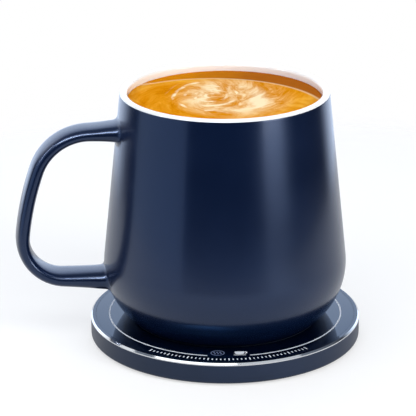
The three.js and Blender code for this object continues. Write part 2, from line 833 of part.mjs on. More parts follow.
// Degrees that the straight wall leans inward: it runs from the rim and is a tangent of the belly's arc.
function leanAngle() {
  const [dx, dz] = [rimRadius - bellyCentreX, lipBase - bellyHeight];
  const reach = Math.hypot(dx, dz);
  return 90 - THREE.MathUtils.radToDeg(Math.acos(cornerRadius / reach) + Math.atan2(dx, dz));
}

// Outer radius of the mug at a height, on the straight wall or on the belly's arc under it.
function wallRadius(height) {
  const lean = THREE.MathUtils.degToRad(wallLean);
  const tangentX = bellyCentreX + cornerRadius * Math.cos(lean);
  const tangentZ = bellyHeight + cornerRadius * Math.sin(lean);
  if (height > tangentZ) return tangentX - (height - tangentZ) * Math.tan(lean);
  return bellyCentreX + Math.sqrt(cornerRadius ** 2 - (bellyHeight - height) ** 2);
}

function mugOutside() {
  return [
    [0, 0],
    ...arc(footRadius, footRounding, footRounding, -90, -bellyTurn, filletSteps),
    ...arc(bellyCentreX, bellyHeight, cornerRadius, -bellyTurn, wallLean, bellySteps).slice(1),
    ...arc(rimRadius - lipRadius, lipBase, lipRadius, 0, 90, beadSteps),
    [0, mugHeight],
  ];
}

function mugInside() {
  const join = THREE.MathUtils.radToDeg(Math.atan2(cupCentreZ - bellyHeight, cupCentreX - bellyCentreX));
  const blendZ = mugHeight - lipBlendDepth;
  return [
    [0, cupFloor],
    ...arc(cupCentreX, cupCentreZ, cupFilletRadius, -90, join, cupSteps),
    ...arc(bellyCentreX, bellyHeight, innerRadius, join, wallLean, cupBellySteps).slice(1),
    [wallRadius(blendZ) - mugWall, blendZ],
    [rimRadius - lipThickness, lipBase],
    ...arc(rimRadius - lipRadius, lipBase, lipRadius, 180, 90, beadSteps).slice(1),
    [rimRadius - lipRadius, mugHeight + cutOverrun],
    [0, mugHeight + cutOverrun],
  ];
}

// The strap's middle line, in the plane through the mug's axis, as [distance from the axis, height].
function handleLine() {
  const topZ = handleTopHeight - handleTopRadius;
  const lowX = handleReach - handleLowRadius;
  const lowZ = handleLowHeight + handleLowRadius;
  // The bow touches both bends from outside, so its centre lies inward of theirs.
  const [dx, dz] = [lowX - handleTopCentre, lowZ - topZ];
  const apart = Math.hypot(dx, dz);
  const [fromTop, fromLow] = [handleRunRadius - handleTopRadius, handleRunRadius - handleLowRadius];
  const along = (apart * apart + fromTop * fromTop - fromLow * fromLow) / (2 * apart);
  const aside = Math.sqrt(fromTop * fromTop - along * along);
  const runX = handleTopCentre + (along * dx + aside * dz) / apart;
  const runZ = topZ + (along * dz - aside * dx) / apart;
  const bearing = (x, z) => THREE.MathUtils.radToDeg(Math.atan2(z - runZ, x - runX));
  const [leaveTop, meetLow] = [bearing(handleTopCentre, topZ), bearing(lowX, lowZ)];
  const topBend = arc(handleTopCentre, topZ, handleTopRadius, 90, leaveTop, topBendSteps);
  const lowBend = arc(lowX, lowZ, handleLowRadius, meetLow, handleLowSlope - 90, lowBendSteps);
  // Each arm runs straight on from its bend, falling by its slope, and ends inside the wall.
  const arm = ([bendX, bendZ], slope, nearWall) => {
    const heightAt = (out) => bendZ - (bendX - out) * Math.tan(THREE.MathUtils.degToRad(slope));
    const start = wallRadius(heightAt(nearWall)) - strapRoot;
    return Array.from({ length: strapEndSteps }, (_, i) => {
      const out = start + ((bendX - start) * i) / strapEndSteps;
      return [out, heightAt(out)];
    });
  };
  return [
    ...arm(topBend[0], 0, rimRadius),
    ...topBend,
    ...arc(runX, runZ, handleRunRadius, leaveTop, meetLow, bowSteps).slice(1, -1),
    ...lowBend,
    ...arm(lowBend.at(-1), handleLowSlope, bellyRadius).reverse(),
  ];
}

function strapSection(width, thickness) {
  return Array.from({ length: strapSides }, (_, k) => {
    const angle = (2 * Math.PI * k) / strapSides;
    const round = (value) => Math.sign(value) * Math.abs(value) ** (2 / strapSquareness);
    return [(round(Math.cos(angle)) * thickness) / 2, (round(Math.sin(angle)) * width) / 2];
  });
}

function handleSolid() {
  const line = handleLine();
  const path = line.map(([out, height]) => new THREE.Vector3(-out, 0, height));
  const bendTop = handleLowHeight + handleLowRadius;
  // Toward the wall the strap thickens, sooner on the low arm, and swells to both sides.
  const sectionAt = (i) => {
    const [out, height] = line[i];
    const clear = Math.max(out - wallRadius(height), 0);
    const flare = (reach, share) => 1 + share * Math.max(1 - clear / reach, 0) ** 2;
    const [reach, share] =
      height < bendTop ? [lowFlareReach, lowFlareShare] : [topFlareReach, topFlareShare];
    const width = strapWidth * flare(sideFlareReach, sideFlareShare);
    return strapSection(width, strapThickness * flare(reach, share));
  };
  return solid(sweep(path, new THREE.Vector3(0, 1, 0), sectionAt));
}

function mugShell() {
  const footInner = footRadius - footWidth;
  const recess = disc(footInner, -cutOverrun, recessDepth);
  const outside = solid(revolve(mugOutside()));
  const body = cut(outside.add(handleSolid()), [solid(revolve(mugInside())), solid(recess)]);
  return piece("mug_shell", geometryOf(body), materials.navyGlaze);
}

function mugFootParts() {
  const sealRadius = footRadius - footWidth - fitGap;
  const discRadius = sealRadius - sealRimWidth - fitGap;
  const sealOutline = [
    [0, sealSetback],
    [sealRadius, sealSetback],
    [sealRadius, recessDepth],
    [sealRadius - sealRimWidth, recessDepth],
    [sealRadius - sealRimWidth, sealTop],
    [0, sealTop],
  ];
  const heater = disc(discRadius, sealTop, bondBottom, innerSteps);
  const bond = disc(discRadius, bondBottom, recessDepth, innerSteps);
  return [
    piece("heating_disc", heater, materials.steel),
    piece("thermal_bond", bond, materials.silicone),
    piece("base_seal", revolve(sealOutline, innerSteps), materials.silicone),
  ];
}

const plate = new THREE.Group();
plate.add(
  housingRing(),
  bezelRing(),
  ...glassPieces(),
  baseCover(),
  antiSlipPad(),
  ...screws(),
  inductionCoil(),
  ...coilSeat(),
  ...thermistorPieces(),
  mainBoard(),
  ...boardParts(),
  ...coilPads(),
  ...statusLights(),
  ...powerInlet(),
);

const mug = new THREE.Group();
mug.add(mugShell(), ...mugFootParts());
mug.position.z = glassTop;
mug.rotation.z = THREE.MathUtils.degToRad(mugTurn);

const mugWarmer = new THREE.Group();
mugWarmer.add(plate, mug);

export default mugWarmer;
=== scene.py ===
# A mug warmer: a slim round plate with a dark glass top, and the glazed mug that it keeps warm.
# Sizes are written in millimetres and turned to metres where a mesh is made.
import math
from functools import partial

import bmesh
import bpy
from mathutils import Matrix, Vector


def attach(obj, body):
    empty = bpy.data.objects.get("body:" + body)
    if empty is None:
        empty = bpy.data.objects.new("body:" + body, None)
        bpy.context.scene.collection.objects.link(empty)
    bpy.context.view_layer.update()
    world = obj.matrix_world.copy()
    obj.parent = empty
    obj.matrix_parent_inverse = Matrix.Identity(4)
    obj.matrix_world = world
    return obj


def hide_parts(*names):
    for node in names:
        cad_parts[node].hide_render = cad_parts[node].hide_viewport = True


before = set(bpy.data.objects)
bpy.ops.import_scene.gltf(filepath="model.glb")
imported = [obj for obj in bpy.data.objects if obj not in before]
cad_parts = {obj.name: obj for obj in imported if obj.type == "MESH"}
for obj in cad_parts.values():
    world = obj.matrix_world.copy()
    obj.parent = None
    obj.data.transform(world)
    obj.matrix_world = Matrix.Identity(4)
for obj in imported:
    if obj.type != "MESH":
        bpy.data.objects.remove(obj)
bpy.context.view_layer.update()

mm = 0.001
sharpAngle = 35.0  # degrees between two faces from which their edge stays sharp
print("frame loaded:", len(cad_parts), "nodes")

# Options that many nodes share
times = {"operation": "MULTIPLY"}
minus = {"operation": "SUBTRACT"}
larger = {"operation": "MAXIMUM"}
lengthOf = {"operation": "LENGTH"}
smooth = {"interpolation_type": "SMOOTHSTEP"}
colours = {"data_type": "RGBA"}
scaled = {"operation": "SCALE"}
aboutZ = {"rotation_type": "Z_AXIS"}


# sRGB hex to the linear values that sockets take
def linear(code):
    parts = [int(code[i:i + 2], 16) / 255 for i in (1, 3, 5)]
    return [c / 12.92 if c <= 0.04045 else ((c + 0.055) / 1.055) ** 2.4 for c in parts] + [1.0]


# Adds a node with its options, its own values and its links. A kind with no "Node" in it is a shader's.
# A node given as a source stands for its first output that is in use.
def addNode(tree, kind, options=None, values=None, links=None):
    node = tree.nodes.new(kind if "Node" in kind else "ShaderNode" + kind)
    for name, value in (options or {}).items():
        setattr(node, name, value)
    for socket, value in (values or {}).items():
        node.inputs[socket].default_value = value
    for socket, source in (links or {}).items():
        if isinstance(source, bpy.types.Node):
            source = next(output for output in source.outputs if output.enabled)
        tree.links.new(source, node.inputs[socket])
    return node


# An object at the origin, in the scene
def linked(name, data):
    made = bpy.data.objects.new(name, data)
    bpy.context.scene.collection.objects.link(made)
    return made


# Camera

camera = {
    "distance": 831.8, "height": 347.9, "azimuth": -1.8, "clipEnd": 20000.0,
    "pitch": 19.45, "yaw": -1.33, "roll": -0.21, "lens": 188.8, "sensor": 36.0,
}


def makeCamera():
    c = camera
    data = bpy.data.cameras.new("photoCamera")
    data.lens = c["lens"]
    data.sensor_width = c["sensor"]
    data.clip_end = c["clipEnd"] * mm
    seen = linked("photoCamera", data)
    out, around = c["distance"] * mm, math.radians(c["azimuth"])
    seen.location = (out * math.sin(around), -out * math.cos(around), c["height"] * mm)
    turns = [("Z", c["yaw"]), ("X", 90 - c["pitch"]), ("Z", c["roll"])]
    facing = Matrix.Identity(3)
    for axis, degrees in turns:
        facing = facing @ Matrix.Rotation(math.radians(degrees), 3, axis)
    seen.rotation_euler = facing.to_euler()
    bpy.context.scene.camera = seen


makeCamera()


# Meshes

def newObject(name, points, faces, finishes=None, materials=(), sharp=sharpAngle):
    mesh = bpy.data.meshes.new(name)
    mesh.from_pydata([Vector(p) * mm for p in points], [], faces)
    for material in materials:
        mesh.materials.append(material)
    if finishes:
        mesh.polygons.foreach_set("material_index", finishes)
    work = bmesh.new()
    work.from_mesh(mesh)
    loose = [v for v in work.verts if not v.link_faces]
    bmesh.ops.delete(work, geom=loose, context="VERTS")
    bmesh.ops.recalc_face_normals(work, faces=work.faces)
    work.to_mesh(mesh)
    work.free()
    mesh.polygons.foreach_set("use_smooth", [True] * len(mesh.polygons))
    mesh.set_sharp_from_angle(angle=math.radians(sharp))
    return linked(name, mesh)


# Points of [radius, height, finish] rows turned round Z, and which points each row has.
# A radius of 0 is a pole.
def ringPoints(outline, steps):
    points, rows = [], []
    for radius, height, _ in outline:
        if radius == 0:
            rows.append([len(points)] * steps)
            points.append((0.0, 0.0, height))
            continue
        rows.append(list(range(len(points), len(points) + steps)))
        for k in range(steps):
            angle = 2 * math.pi * k / steps
            points.append((radius * math.cos(angle), radius * math.sin(angle), height))
    return points, rows


# Rows that close a flat face in to its middle
def inward(radius, height, finish=0):
    return [(radius * share, height, finish) for share in (0.75, 0.5, 0.25, 0.0)]


# Faces from each row of points to the next, each with its row's finish, apart from the cells left open
def bands(rows, kinds, openCells=()):
    faces, finishes = [], []
    for i, (low, high, kind) in enumerate(zip(rows, rows[1:], kinds)):
        for k in range(len(low)):
            if (i, k) in openCells:
                continue
            n = (k + 1) % len(low)
            faces.append(list(dict.fromkeys([low[k], low[n], high[n], high[k]])))
            finishes.append(kind)
    return faces, finishes


# Turns an outline of rows round Z. A loop closes on itself.
def turned(name, outline, materials, steps, loop=False, sharp=sharpAngle):
    points, rows = ringPoints(outline, steps)
    faces, finishes = bands(rows + rows[:loop], [kind for _, _, kind in outline])
    return newObject(name, points, faces, finishes, materials, sharp)


# A point of the small arc that rounds a corner, at a share of the way from a to b
def arcPoint(a, corner, b, t):
    return a * (1 - t) ** 2 + corner * 2 * t * (1 - t) + b * t ** 2


# Rounds the corners of an open outline of [x, y] points; its two ends stay
def rounded(corners, radius, steps=3):
    made = [corners[0]]
    for before, corner, after in zip(corners, corners[1:], corners[2:]):
        here = Vector(corner)
        a, b = (here + (Vector(side) - here).normalized() * radius for side in (before, after))
        made += [tuple(arcPoint(a, here, b, k / steps)) for k in range(steps + 1)]
    return made + [corners[-1]]


# Raises flat outlines into thin closed plates
def raised(name, outlines, low, high, material):
    points, faces = [], []
    for outline in outlines:
        start, count = len(points), len(outline)
        points += [(x, y, low) for x, y in outline] + [(x, y, high) for x, y in outline]
        faces.append(list(range(start + count - 1, start - 1, -1)))
        faces.append(list(range(start + count, start + 2 * count)))
        for k in range(count):
            n = (k + 1) % count
            faces.append([start + k, start + n, start + count + n, start + count + k])
    return newObject(name, points, faces, None, [material])


# The evaluated object as a plain mesh, with no modifier left
def settled(source, name):
    graph = bpy.context.evaluated_depsgraph_get()
    mesh = bpy.data.meshes.new_from_object(source.evaluated_get(graph))
    source.modifiers.clear()
    bpy.data.objects.remove(source)
    mesh.name = name
    return linked(name, mesh)


# Finishes

# Noise of every surface: detail of its drift and its grain, and the levels between which its tone changes
noise = {"drift": 4.0, "grain": 2.0, "low": 0.32, "high": 0.68}
metal = {"Metallic": 1.0}
glassy = {"IOR": 1.52, "Specular IOR Level": 0.68, "Specular Tint": (0.2, 0.52, 1.0, 1.0)}
# Each finish: its name, two tones, width of the drift in mm, range of roughness,
# width and depth of the grain in mm, and sockets that are the same all over
finishes = {
    # Satin navy glaze on stoneware: sprayed and fired, so it is nearly even, with a slow drift of tone
    "navyGlaze": (
        "satinNavyGlaze", ("#06132D", "#071632"), 28.0, (0.22, 0.27), 1.6, 0.006,
        {
            "IOR": 1.5, "Specular IOR Level": 0.8, "Specular Tint": (0.46, 0.62, 1.0, 1.0),
            "Coat Weight": 0.2, "Coat Roughness": 0.1,
        },
    ),
    # Clear glaze over white stoneware: bright, smooth and a little warm
    "whiteGlaze": ("clearWhiteGlaze", ("#FAFAF8", "#FDFDFC"), 22.0, (0.1, 0.16), 2.4, 0.004, {"IOR": 1.5}),
    # Bare fired stoneware of the foot ring: dry, warm white and gritty
    "bareStoneware": ("bareStoneware", ("#D5CDBD", "#E2DBCD"), 3.0, (0.75, 0.9), 0.25, 0.03),
    # Tempered glass with a black printed underside: nearly black, with faint wiping marks in the gloss
    "blackGlass": ("blackTemperedGlass", ("#010615", "#02081A"), 40.0, (0.03, 0.055), 30.0, 0.0, glassy),
    # Gloss black enamel on the bezel's flat: it carries on the look of the glass
    "blackEnamel": ("glossBlackEnamel", ("#010615", "#02081A"), 12.0, (0.05, 0.08), 2.0, 0.0005, glassy),
    # Satin paint over the die-cast wall: dark navy, with a fine orange-peel grain
    "satinPaint": (
        "satinNavyPaint", ("#141F36", "#19243D"), 18.0, (0.34, 0.42), 0.5, 0.006,
        {"IOR": 1.5, "Specular Tint": (0.7, 0.84, 1.0, 1.0)},
    ),
    # Screen print in ceramic ink, white and grey: flat and chalky
    "whiteInk": ("whiteCeramicInk", ("#E4EAF2", "#F2F5F9"), 1.5, (0.5, 0.6), 0.15, 0.002),
    "greyInk": ("greyCeramicInk", ("#5A6784", "#69769A"), 1.5, (0.5, 0.6), 0.15, 0.002),
    # Moulded ABS of the base: matt, with spark-eroded grain
    "mattAbs": ("mattBlackAbs", ("#16171B", "#1C1D22"), 12.0, (0.5, 0.62), 0.35, 0.015),
    # Silicone rubber: very matt and slightly dusty
    "silicone": ("mattSilicone", ("#222327", "#2B2C31"), 9.0, (0.78, 0.9), 0.3, 0.012),
    # Pressed mica sheet: golden brown flakes
    "mica": ("pressedMica", ("#8E7447", "#C3A875"), 3.0, (0.3, 0.5), 1.2, 0.02),
    # Enamelled copper wire: reddish metal under a thin lacquer
    "copper": (
        "enamelledCopper", ("#A8552C", "#C06A3A"), 5.0, (0.25, 0.35), 0.3, 0.01,
        {**metal, "Coat Weight": 0.5, "Coat Roughness": 0.1},
    ),
    # Sintered ferrite: dark grey, dull and slightly sandy
    "ferrite": ("sinteredFerrite", ("#2B2B2E", "#37373B"), 4.0, (0.6, 0.75), 0.2, 0.02),
    # Glass-epoxy board under green solder mask: half-gloss and even
    "board": ("greenSolderMask", ("#12432C", "#17533A"), 6.0, (0.28, 0.4), 0.5, 0.01),
    # Tinned copper land: bright grey metal, a little lumpy
    "solder": ("tinnedSolder", ("#B3B7BB", "#C6CACD"), 2.0, (0.25, 0.4), 0.6, 0.02, metal),
    # Moulded epoxy of chips and chokes: near black and dull
    "epoxy": ("mouldedEpoxy", ("#17181B", "#212226"), 2.0, (0.5, 0.65), 0.15, 0.01),
    # Fired ceramic capacitors: tan and matt
    "capacitor": ("firedCapacitor", ("#94744A", "#A9875A"), 2.0, (0.4, 0.5), 0.2, 0.008),
    # Zinc-plated and drawn steel of screws, socket and heating disc: plain bright metal
    "steel": ("platedSteel", ("#A2A6AB", "#B4B8BC"), 4.0, (0.25, 0.36), 0.4, 0.006, metal),
    # Moulded lamps, milky white, and their clear guide
    "lamp": ("whiteLamp", ("#E6E2C8", "#EFECD8"), 2.0, (0.3, 0.4), 0.5, 0.004),
    "guide": ("clearAcrylic", ("#DCE6EA", "#E6EEF1"), 6.0, (0.05, 0.12), 1.0, 0.002, {"IOR": 1.49}),
    # Polished steel chamfer: mirror-like, with turning lines that are added below
    "bezel": ("polishedSteelChamfer", ("#DFE2E6", "#E9EBEE"), 25.0, (0.07, 0.12), 0.5, 0.0, metal),
}


# A new material, its node tree, a way to add nodes to it and its own place coordinates
def newMaterial(name):
    material = bpy.data.materials.new(name)
    material.use_nodes = True
    tree = material.node_tree
    add = partial(addNode, tree)
    return material, tree, add, add("TexCoord").outputs["Object"]


# A surface with a slow drift of tone, a drift of roughness and a fine grain, each of a real size
def surface(name, tones, blotch, roughness, grain, depth, sockets=None):
    material, tree, add, place = newMaterial(name)
    shader = tree.nodes["Principled BSDF"]
    cloud = add("TexNoise", None, {"Scale": 1 / (blotch * mm), "Detail": noise["drift"]}, {"Vector": place})
    spread = add("MapRange", None, {"From Min": noise["low"], "From Max": noise["high"]}, {"Value": cloud})
    tone = add("Mix", colours, {6: linear(tones[0]), 7: linear(tones[1])}, {0: spread})
    gloss = add("MapRange", None, {"To Min": roughness[0], "To Max": roughness[1]}, {"Value": spread})
    speck = add("TexNoise", None, {"Scale": 1 / (grain * mm), "Detail": noise["grain"]}, {"Vector": place})
    bump = add("Bump", None, {"Distance": depth * mm}, {"Height": speck})
    tree.links.new(tone.outputs[2], shader.inputs["Base Color"])
    tree.links.new(gloss.outputs["Result"], shader.inputs["Roughness"])
    tree.links.new(bump.outputs["Normal"], shader.inputs["Normal"])
    for socket, value in (sockets or {}).items():
        shader.inputs[socket].default_value = value
    return material


def makeFinishes():
    made = {key: surface(*values) for key, values in finishes.items()}
    addTurningLines(made["bezel"])
    made["crema"] = makeCrema()
    return made


turningLines = {"spacing": 0.4, "depth": 0.00025, "run": 40.0, "detail": 1.0}


# The turning lines that the last cut leaves round the bezel's chamfer.
# The real lines are near 0.05 mm apart; they are drawn at 0.4 mm so that they show at all.
def addTurningLines(material):
    t = turningLines
    tree = material.node_tree
    add = partial(addNode, tree)
    place = next(n for n in tree.nodes if n.type == "TEX_COORD").outputs["Object"]
    parts = add("SeparateXYZ", links={"Vector": place})
    sides = [parts.outputs[axis] for axis in ("X", "Y")]
    squares = [add("Math", times, links={0: side, 1: side}) for side in sides]
    total = add("Math", links=dict(enumerate(squares)))
    radius = add("Math", {"operation": "SQRT"}, links={0: total})
    across = add("Math", times, {1: 1 / (t["spacing"] * mm)}, {0: radius})
    runs = [add("Math", times, {1: 1 / (t["run"] * mm)}, {0: side}) for side in sides]
    vector = add("CombineXYZ", links={"X": runs[0], "Y": runs[1], "Z": across})
    lines = add("TexNoise", None, {"Scale": 1.0, "Detail": t["detail"]}, {"Vector": vector})
    bump = next(n for n in tree.nodes if n.type == "BUMP")
    bump.inputs["Distance"].default_value = t["depth"] * mm
    tree.links.new(lines.outputs["Fac"], bump.inputs["Height"])


crema = {
    "deep": "#B46203", "base": "#D68407", "warm": "#E2930F", "light": "#EFAC30", "milk": "#FBE4B8",
    "toneStops": {"deep": 0.26, "base": 0.4, "warm": 0.52, "light": 0.66},
    "fold": 11.0, "foldReach": 7.0,
    "streak": 13.0, "streakDetail": 8.0, "streakRoughness": 0.68, "streakDistortion": 0.6,
    "ringSpacing": 4.2, "ringWander": 3.5, "ringDetail": 3.0, "ringDetailScale": 0.7,
    "breakup": 7.0, "breakupDetail": 4.0,
    "contrast": {"rings": (0.5, 0.95), "breakup": (0.4, 0.6), "streak": (0.38, 0.64)},
    "edgeTone": "#A85E1A", "edgeLight": "#D08210", "edgeLineShare": 0.5,
    "edgeDrift": 7.0, "edgeFrom": -18.0, "edgeTo": 14.0,
    "bubble": 0.5, "bubbleDepth": 0.03, "roughness": 0.5, "ior": 1.34,
}
# Each fade runs from its start to its end value between two distances from its own middle, x and y
swirl = {"x": -5.5, "y": 4.0, "length": 1.35}
fades = {
    "twist": {**swirl, "high": 38.0, "start": 1.5, "end": 0.0},  # radians of turn
    "rings": {**swirl, "low": 14.0, "high": 19.0, "start": 1.0, "end": 0.0},
    "pour": {"x": 13.5, "y": 1.0, "width": 5.0, "length": 20.0, "high": 1.0, "start": 0.65, "end": 0.0},
    "cloud": {"x": 3.0, "y": 2.0, "length": 1.25, "low": 11.0, "high": 27.0, "start": 1.0, "end": 0.03},
    "front": {"x": 0.0, "y": 5.0, "low": 32.0, "high": 42.0, "end": 0.7},
    "edge": {"x": -5.7, "y": -16.0, "low": 43.8, "high": 46.4},
}


# A fade with the distance from a middle on the drink, which can be stretched across and along.
# Also gives the way from that middle.
def fade(add, place, x, y, high, low=0.0, start=0.0, end=1.0, width=1.0, length=1.0):
    moved = add("VectorMath", minus, {1: (x * mm, y * mm, 0.0)}, {0: place})
    way = add("VectorMath", times, {1: (1 / width, 1 / length, 0.0)}, {0: moved})
    reach = add("VectorMath", lengthOf, links={0: way})
    level = add(
        "MapRange", smooth,
        {"From Min": low * mm, "From Max": high * mm, "To Min": start, "To Max": end}, {"Value": reach},
    )
    return level, way


# Milk foam stirred into coffee: orange-brown foam, with pale rings and a pale pour where the milk went in
def makeCrema():
    c = crema
    material, tree, add, place = newMaterial("coffeeFoam")
    shader = tree.nodes["Principled BSDF"]
    made = {name: fade(add, place, **values) for name, values in fades.items()}
    level = {name: pair[0] for name, pair in made.items()}
    flat = made["twist"][1]
    swirled = add("VectorRotate", aboutZ, links={"Vector": flat, "Angle": level["twist"]})
    # The stirring is uneven: slow folds push the foam aside, both ways from a noise's mean of 0.5
    folds = add("TexNoise", values={"Scale": 1 / (c["fold"] * mm)}, links={"Vector": flat})
    push = add("VectorMath", minus, {1: (0.5, 0.5, 0.5)}, {0: folds.outputs["Color"]})
    aside = add("VectorMath", scaled, {"Scale": c["foldReach"] * mm}, {0: push})
    stirred = add("VectorMath", links={0: swirled, 1: aside})
    broad = add(
        "TexNoise", None,
        {
            "Scale": 1 / (c["streak"] * mm), "Detail": c["streakDetail"],
            "Roughness": c["streakRoughness"], "Distortion": c["streakDistortion"],
        },
        {"Vector": stirred},
    )
    tones = add("ValToRGB", links={"Fac": broad})
    stops = tones.color_ramp.elements
    for k, (tone, position) in enumerate(c["toneStops"].items()):
        stop = stops[k] if k < 2 else stops.new(position)  # a new ramp has two stops
        stop.position, stop.color = position, linear(c[tone])

    # Pale rings round the swirl, broken by patches of plain foam. At a scale of 1 they lie pi / 10 apart.
    rings = add(
        "TexWave", {"wave_type": "RINGS", "rings_direction": "Z"},
        {
            "Scale": math.pi / (10 * c["ringSpacing"] * mm), "Distortion": c["ringWander"],
            "Detail": c["ringDetail"], "Detail Scale": c["ringDetailScale"],
        },
        {"Vector": flat},
    )
    speck = add(
        "TexNoise", None, {"Scale": 1 / (c["breakup"] * mm), "Detail": c["breakupDetail"]},
        {"Vector": swirled},
    )
    sources = {"rings": rings.outputs["Fac"], "breakup": speck, "streak": broad}
    clear = {
        name: add("MapRange", smooth, {"From Min": low, "From Max": high}, {"Value": sources[name]})
        for name, (low, high) in c["contrast"].items()
    }
    kept = add("Math", times, links={0: clear["rings"], 1: level["rings"]})
    lines = add("Math", times, links={0: kept, 1: clear["breakup"]})
    # The pour, and the cloud of milk round it
    cloud = add("Math", times, links={0: clear["streak"], 1: level["cloud"]})
    poured = add("Math", {"use_clamp": True}, links={0: cloud, 1: level["pour"]})
    milk = add("Math", larger, links={0: lines, 1: poured})
    foam = add("Mix", colours, {7: linear(c["milk"])}, {0: milk, 6: tones})
    # The foam turns darker towards the wall
    darkerTowardWall = add("Mix", colours, {7: linear(c["deep"])}, {0: level["front"], 6: foam})
    # A band of bare coffee against the far wall, its brown partly painted shade cast by the wall, darker to
    # the right, with a pale line of foam along it
    drift = add("TexNoise", values={"Scale": 1 / (c["edgeDrift"] * mm)}, links={"Vector": place})
    wander = add("VectorMath", scaled, {"Scale": 2 * c["edgeDrift"] * mm}, {0: drift.outputs["Color"]})
    across = add("VectorMath", links={0: place, 1: wander})
    parts = add("SeparateXYZ", links={"Vector": across})
    low, high = ((c[end] + c["edgeDrift"]) * mm for end in ("edgeFrom", "edgeTo"))
    shade = add("MapRange", None, {"From Min": low, "From Max": high}, {"Value": parts.outputs["X"]})
    bare = add("Mix", colours, {6: linear(c["edgeLight"]), 7: linear(c["edgeTone"])}, {0: shade})
    rim = add("Mix", colours, links={0: level["edge"], 6: darkerTowardWall, 7: bare})
    half = add("Math", {"operation": "PINGPONG"}, {1: 0.5}, {0: level["edge"]})
    line = add("Math", times, {1: 2 * c["edgeLineShare"]}, {0: half})
    final = add("Mix", colours, {7: linear(c["milk"])}, {0: line, 6: rim})
    bubbles = add("TexVoronoi", None, {"Scale": 1 / (c["bubble"] * mm)}, {"Vector": place})
    bump = add("Bump", None, {"Distance": c["bubbleDepth"] * mm}, {"Height": bubbles})
    tree.links.new(final.outputs[2], shader.inputs["Base Color"])
    tree.links.new(bump.outputs["Normal"], shader.inputs["Normal"])
    shader.inputs["Roughness"].default_value = c["roughness"]
    shader.inputs["IOR"].default_value = c["ior"]
    shader.inputs["Specular IOR Level"].default_value = 0.0
    return material


finish = makeFinishes()
print("finishes made:", len(finish))


# Mug

mug = {
    "standHeight": 9.5, "turn": 6.5,  # degrees
    "height": 94.6, "rimRadius": 41.85, "bellyRadius": 49.2, "cornerRadius": 29.0, "bellyTurn": 50.8,
    "wall": 4.0, "lip": 3.2, "lipBlend": 30.0, "glazeLine": 93.6,
    "footRounding": 1.5, "footWidth": 3.4, "footBevel": 0.25, "bareHeight": 0.1,
    "recess": 3.0, "recessRing": 0.9, "floor": 4.0, "cupFillet": 12.0,
    "tries": 4000, "columns": 192, "footSpacing": 0.7, "rowSpacing": 1.5, "topSpacing": 1.2,
    "beadSpacing": 0.25, "lipSpacing": 0.35, "cupSpacing": 1.8, "sharp": 50.0,
}
strap = {
    "topHeight": 79.4, "lowHeight": 18.85, "lowSlope": 4.0, "reach": 81.9,
    "topRadius": 21.9, "topCentre": 54.85, "runRadius": 123.0, "lowRadius": 17.0,
    "width": 14.6, "thickness": 5.55, "squareness": 2.6, "rootFillet": 1.8, "rootSteps": 5,
    "topFlareReach": 16.0, "topFlare": 0.4, "lowFlareReach": 33.0, "lowFlare": 0.5,
    "sideFlareReach": 7.0, "sideFlare": 0.12, "sweepSpacing": 1.9, "sweepGap": 0.8,
    "halfColumns": 8, "halfRows": 5, "topCell": 1.25, "lowCell": 1.5,  # the holes for its roots
}


# A run of an outline is its length and the point at a distance along it
def straightRun(a, b):
    length = math.dist(a, b)
    return length, lambda s: (a[0] + (b[0] - a[0]) * s / length, a[1] + (b[1] - a[1]) * s / length)


def arcRun(x, z, radius, start, end):
    length = abs(math.radians(end - start)) * radius

    def at(s):
        angle = math.radians(start + (end - start) * s / length)
        return x + radius * math.cos(angle), z + radius * math.sin(angle)

    return length, at


def pointAlong(runs, s):
    for length, at in runs[:-1]:
        if s <= length:
            return at(s)
        s -= length
    length, at = runs[-1]
    return at(min(s, length))


# Evenly spaced points along runs, both ends in
def pointsAlong(runs, spacing):
    total = sum(length for length, _ in runs)
    count = max(1, round(total / spacing))
    return [pointAlong(runs, total * i / count) for i in range(count + 1)]


turnUnder = math.radians(mug["bellyTurn"])
footReach = mug["cornerRadius"] - mug["footRounding"]
bellyX = mug["bellyRadius"] - mug["cornerRadius"]
bellyZ = mug["footRounding"] + footReach * math.sin(turnUnder)
footRadius = bellyX + footReach * math.cos(turnUnder)
innerRadius = mug["cornerRadius"] - mug["wall"]
cupZ = mug["recess"] + mug["floor"] + mug["cupFillet"]
cupX = bellyX + math.sqrt((innerRadius - mug["cupFillet"]) ** 2 - (bellyZ - cupZ) ** 2)
lipRadius = mug["lip"] / 2
lipBase = mug["height"] - lipRadius
toLipX, toLipZ = mug["rimRadius"] - bellyX, lipBase - bellyZ
# Radians that the straight wall leans inward
lean = math.pi / 2 - math.acos(mug["cornerRadius"] / math.hypot(toLipX, toLipZ)) - math.atan2(toLipX, toLipZ)
tangentX = bellyX + mug["cornerRadius"] * math.cos(lean)
tangentZ = bellyZ + mug["cornerRadius"] * math.sin(lean)


# Outer radius of the mug at a height, on the straight wall or on the belly under it
def wallRadius(height):
    if height >= tangentZ:
        return tangentX - (height - tangentZ) * math.tan(lean)
    return bellyX + math.sqrt(mug["cornerRadius"] ** 2 - (height - bellyZ) ** 2)


def innerRuns():
    blendZ = mug["height"] - mug["lipBlend"]
    blend = (wallRadius(blendZ) - mug["wall"], blendZ)
    low = (bellyX + innerRadius * math.cos(lean), bellyZ + innerRadius * math.sin(lean))
    join = math.degrees(math.atan2(cupZ - bellyZ, cupX - bellyX))
    return [
        straightRun((mug["rimRadius"] - mug["lip"], lipBase), blend),
        straightRun(blend, low),
        arcRun(bellyX, bellyZ, innerRadius, math.degrees(lean), join),
        arcRun(cupX, cupZ, mug["cupFillet"], join, -90),
    ]


def outerRuns():
    return [
        arcRun(footRadius, mug["footRounding"], mug["footRounding"], -90, -mug["bellyTurn"]),
        arcRun(bellyX, bellyZ, mug["cornerRadius"], -mug["bellyTurn"], math.degrees(lean)),
        straightRun((tangentX, tangentZ), (mug["rimRadius"], lipBase)),
    ]


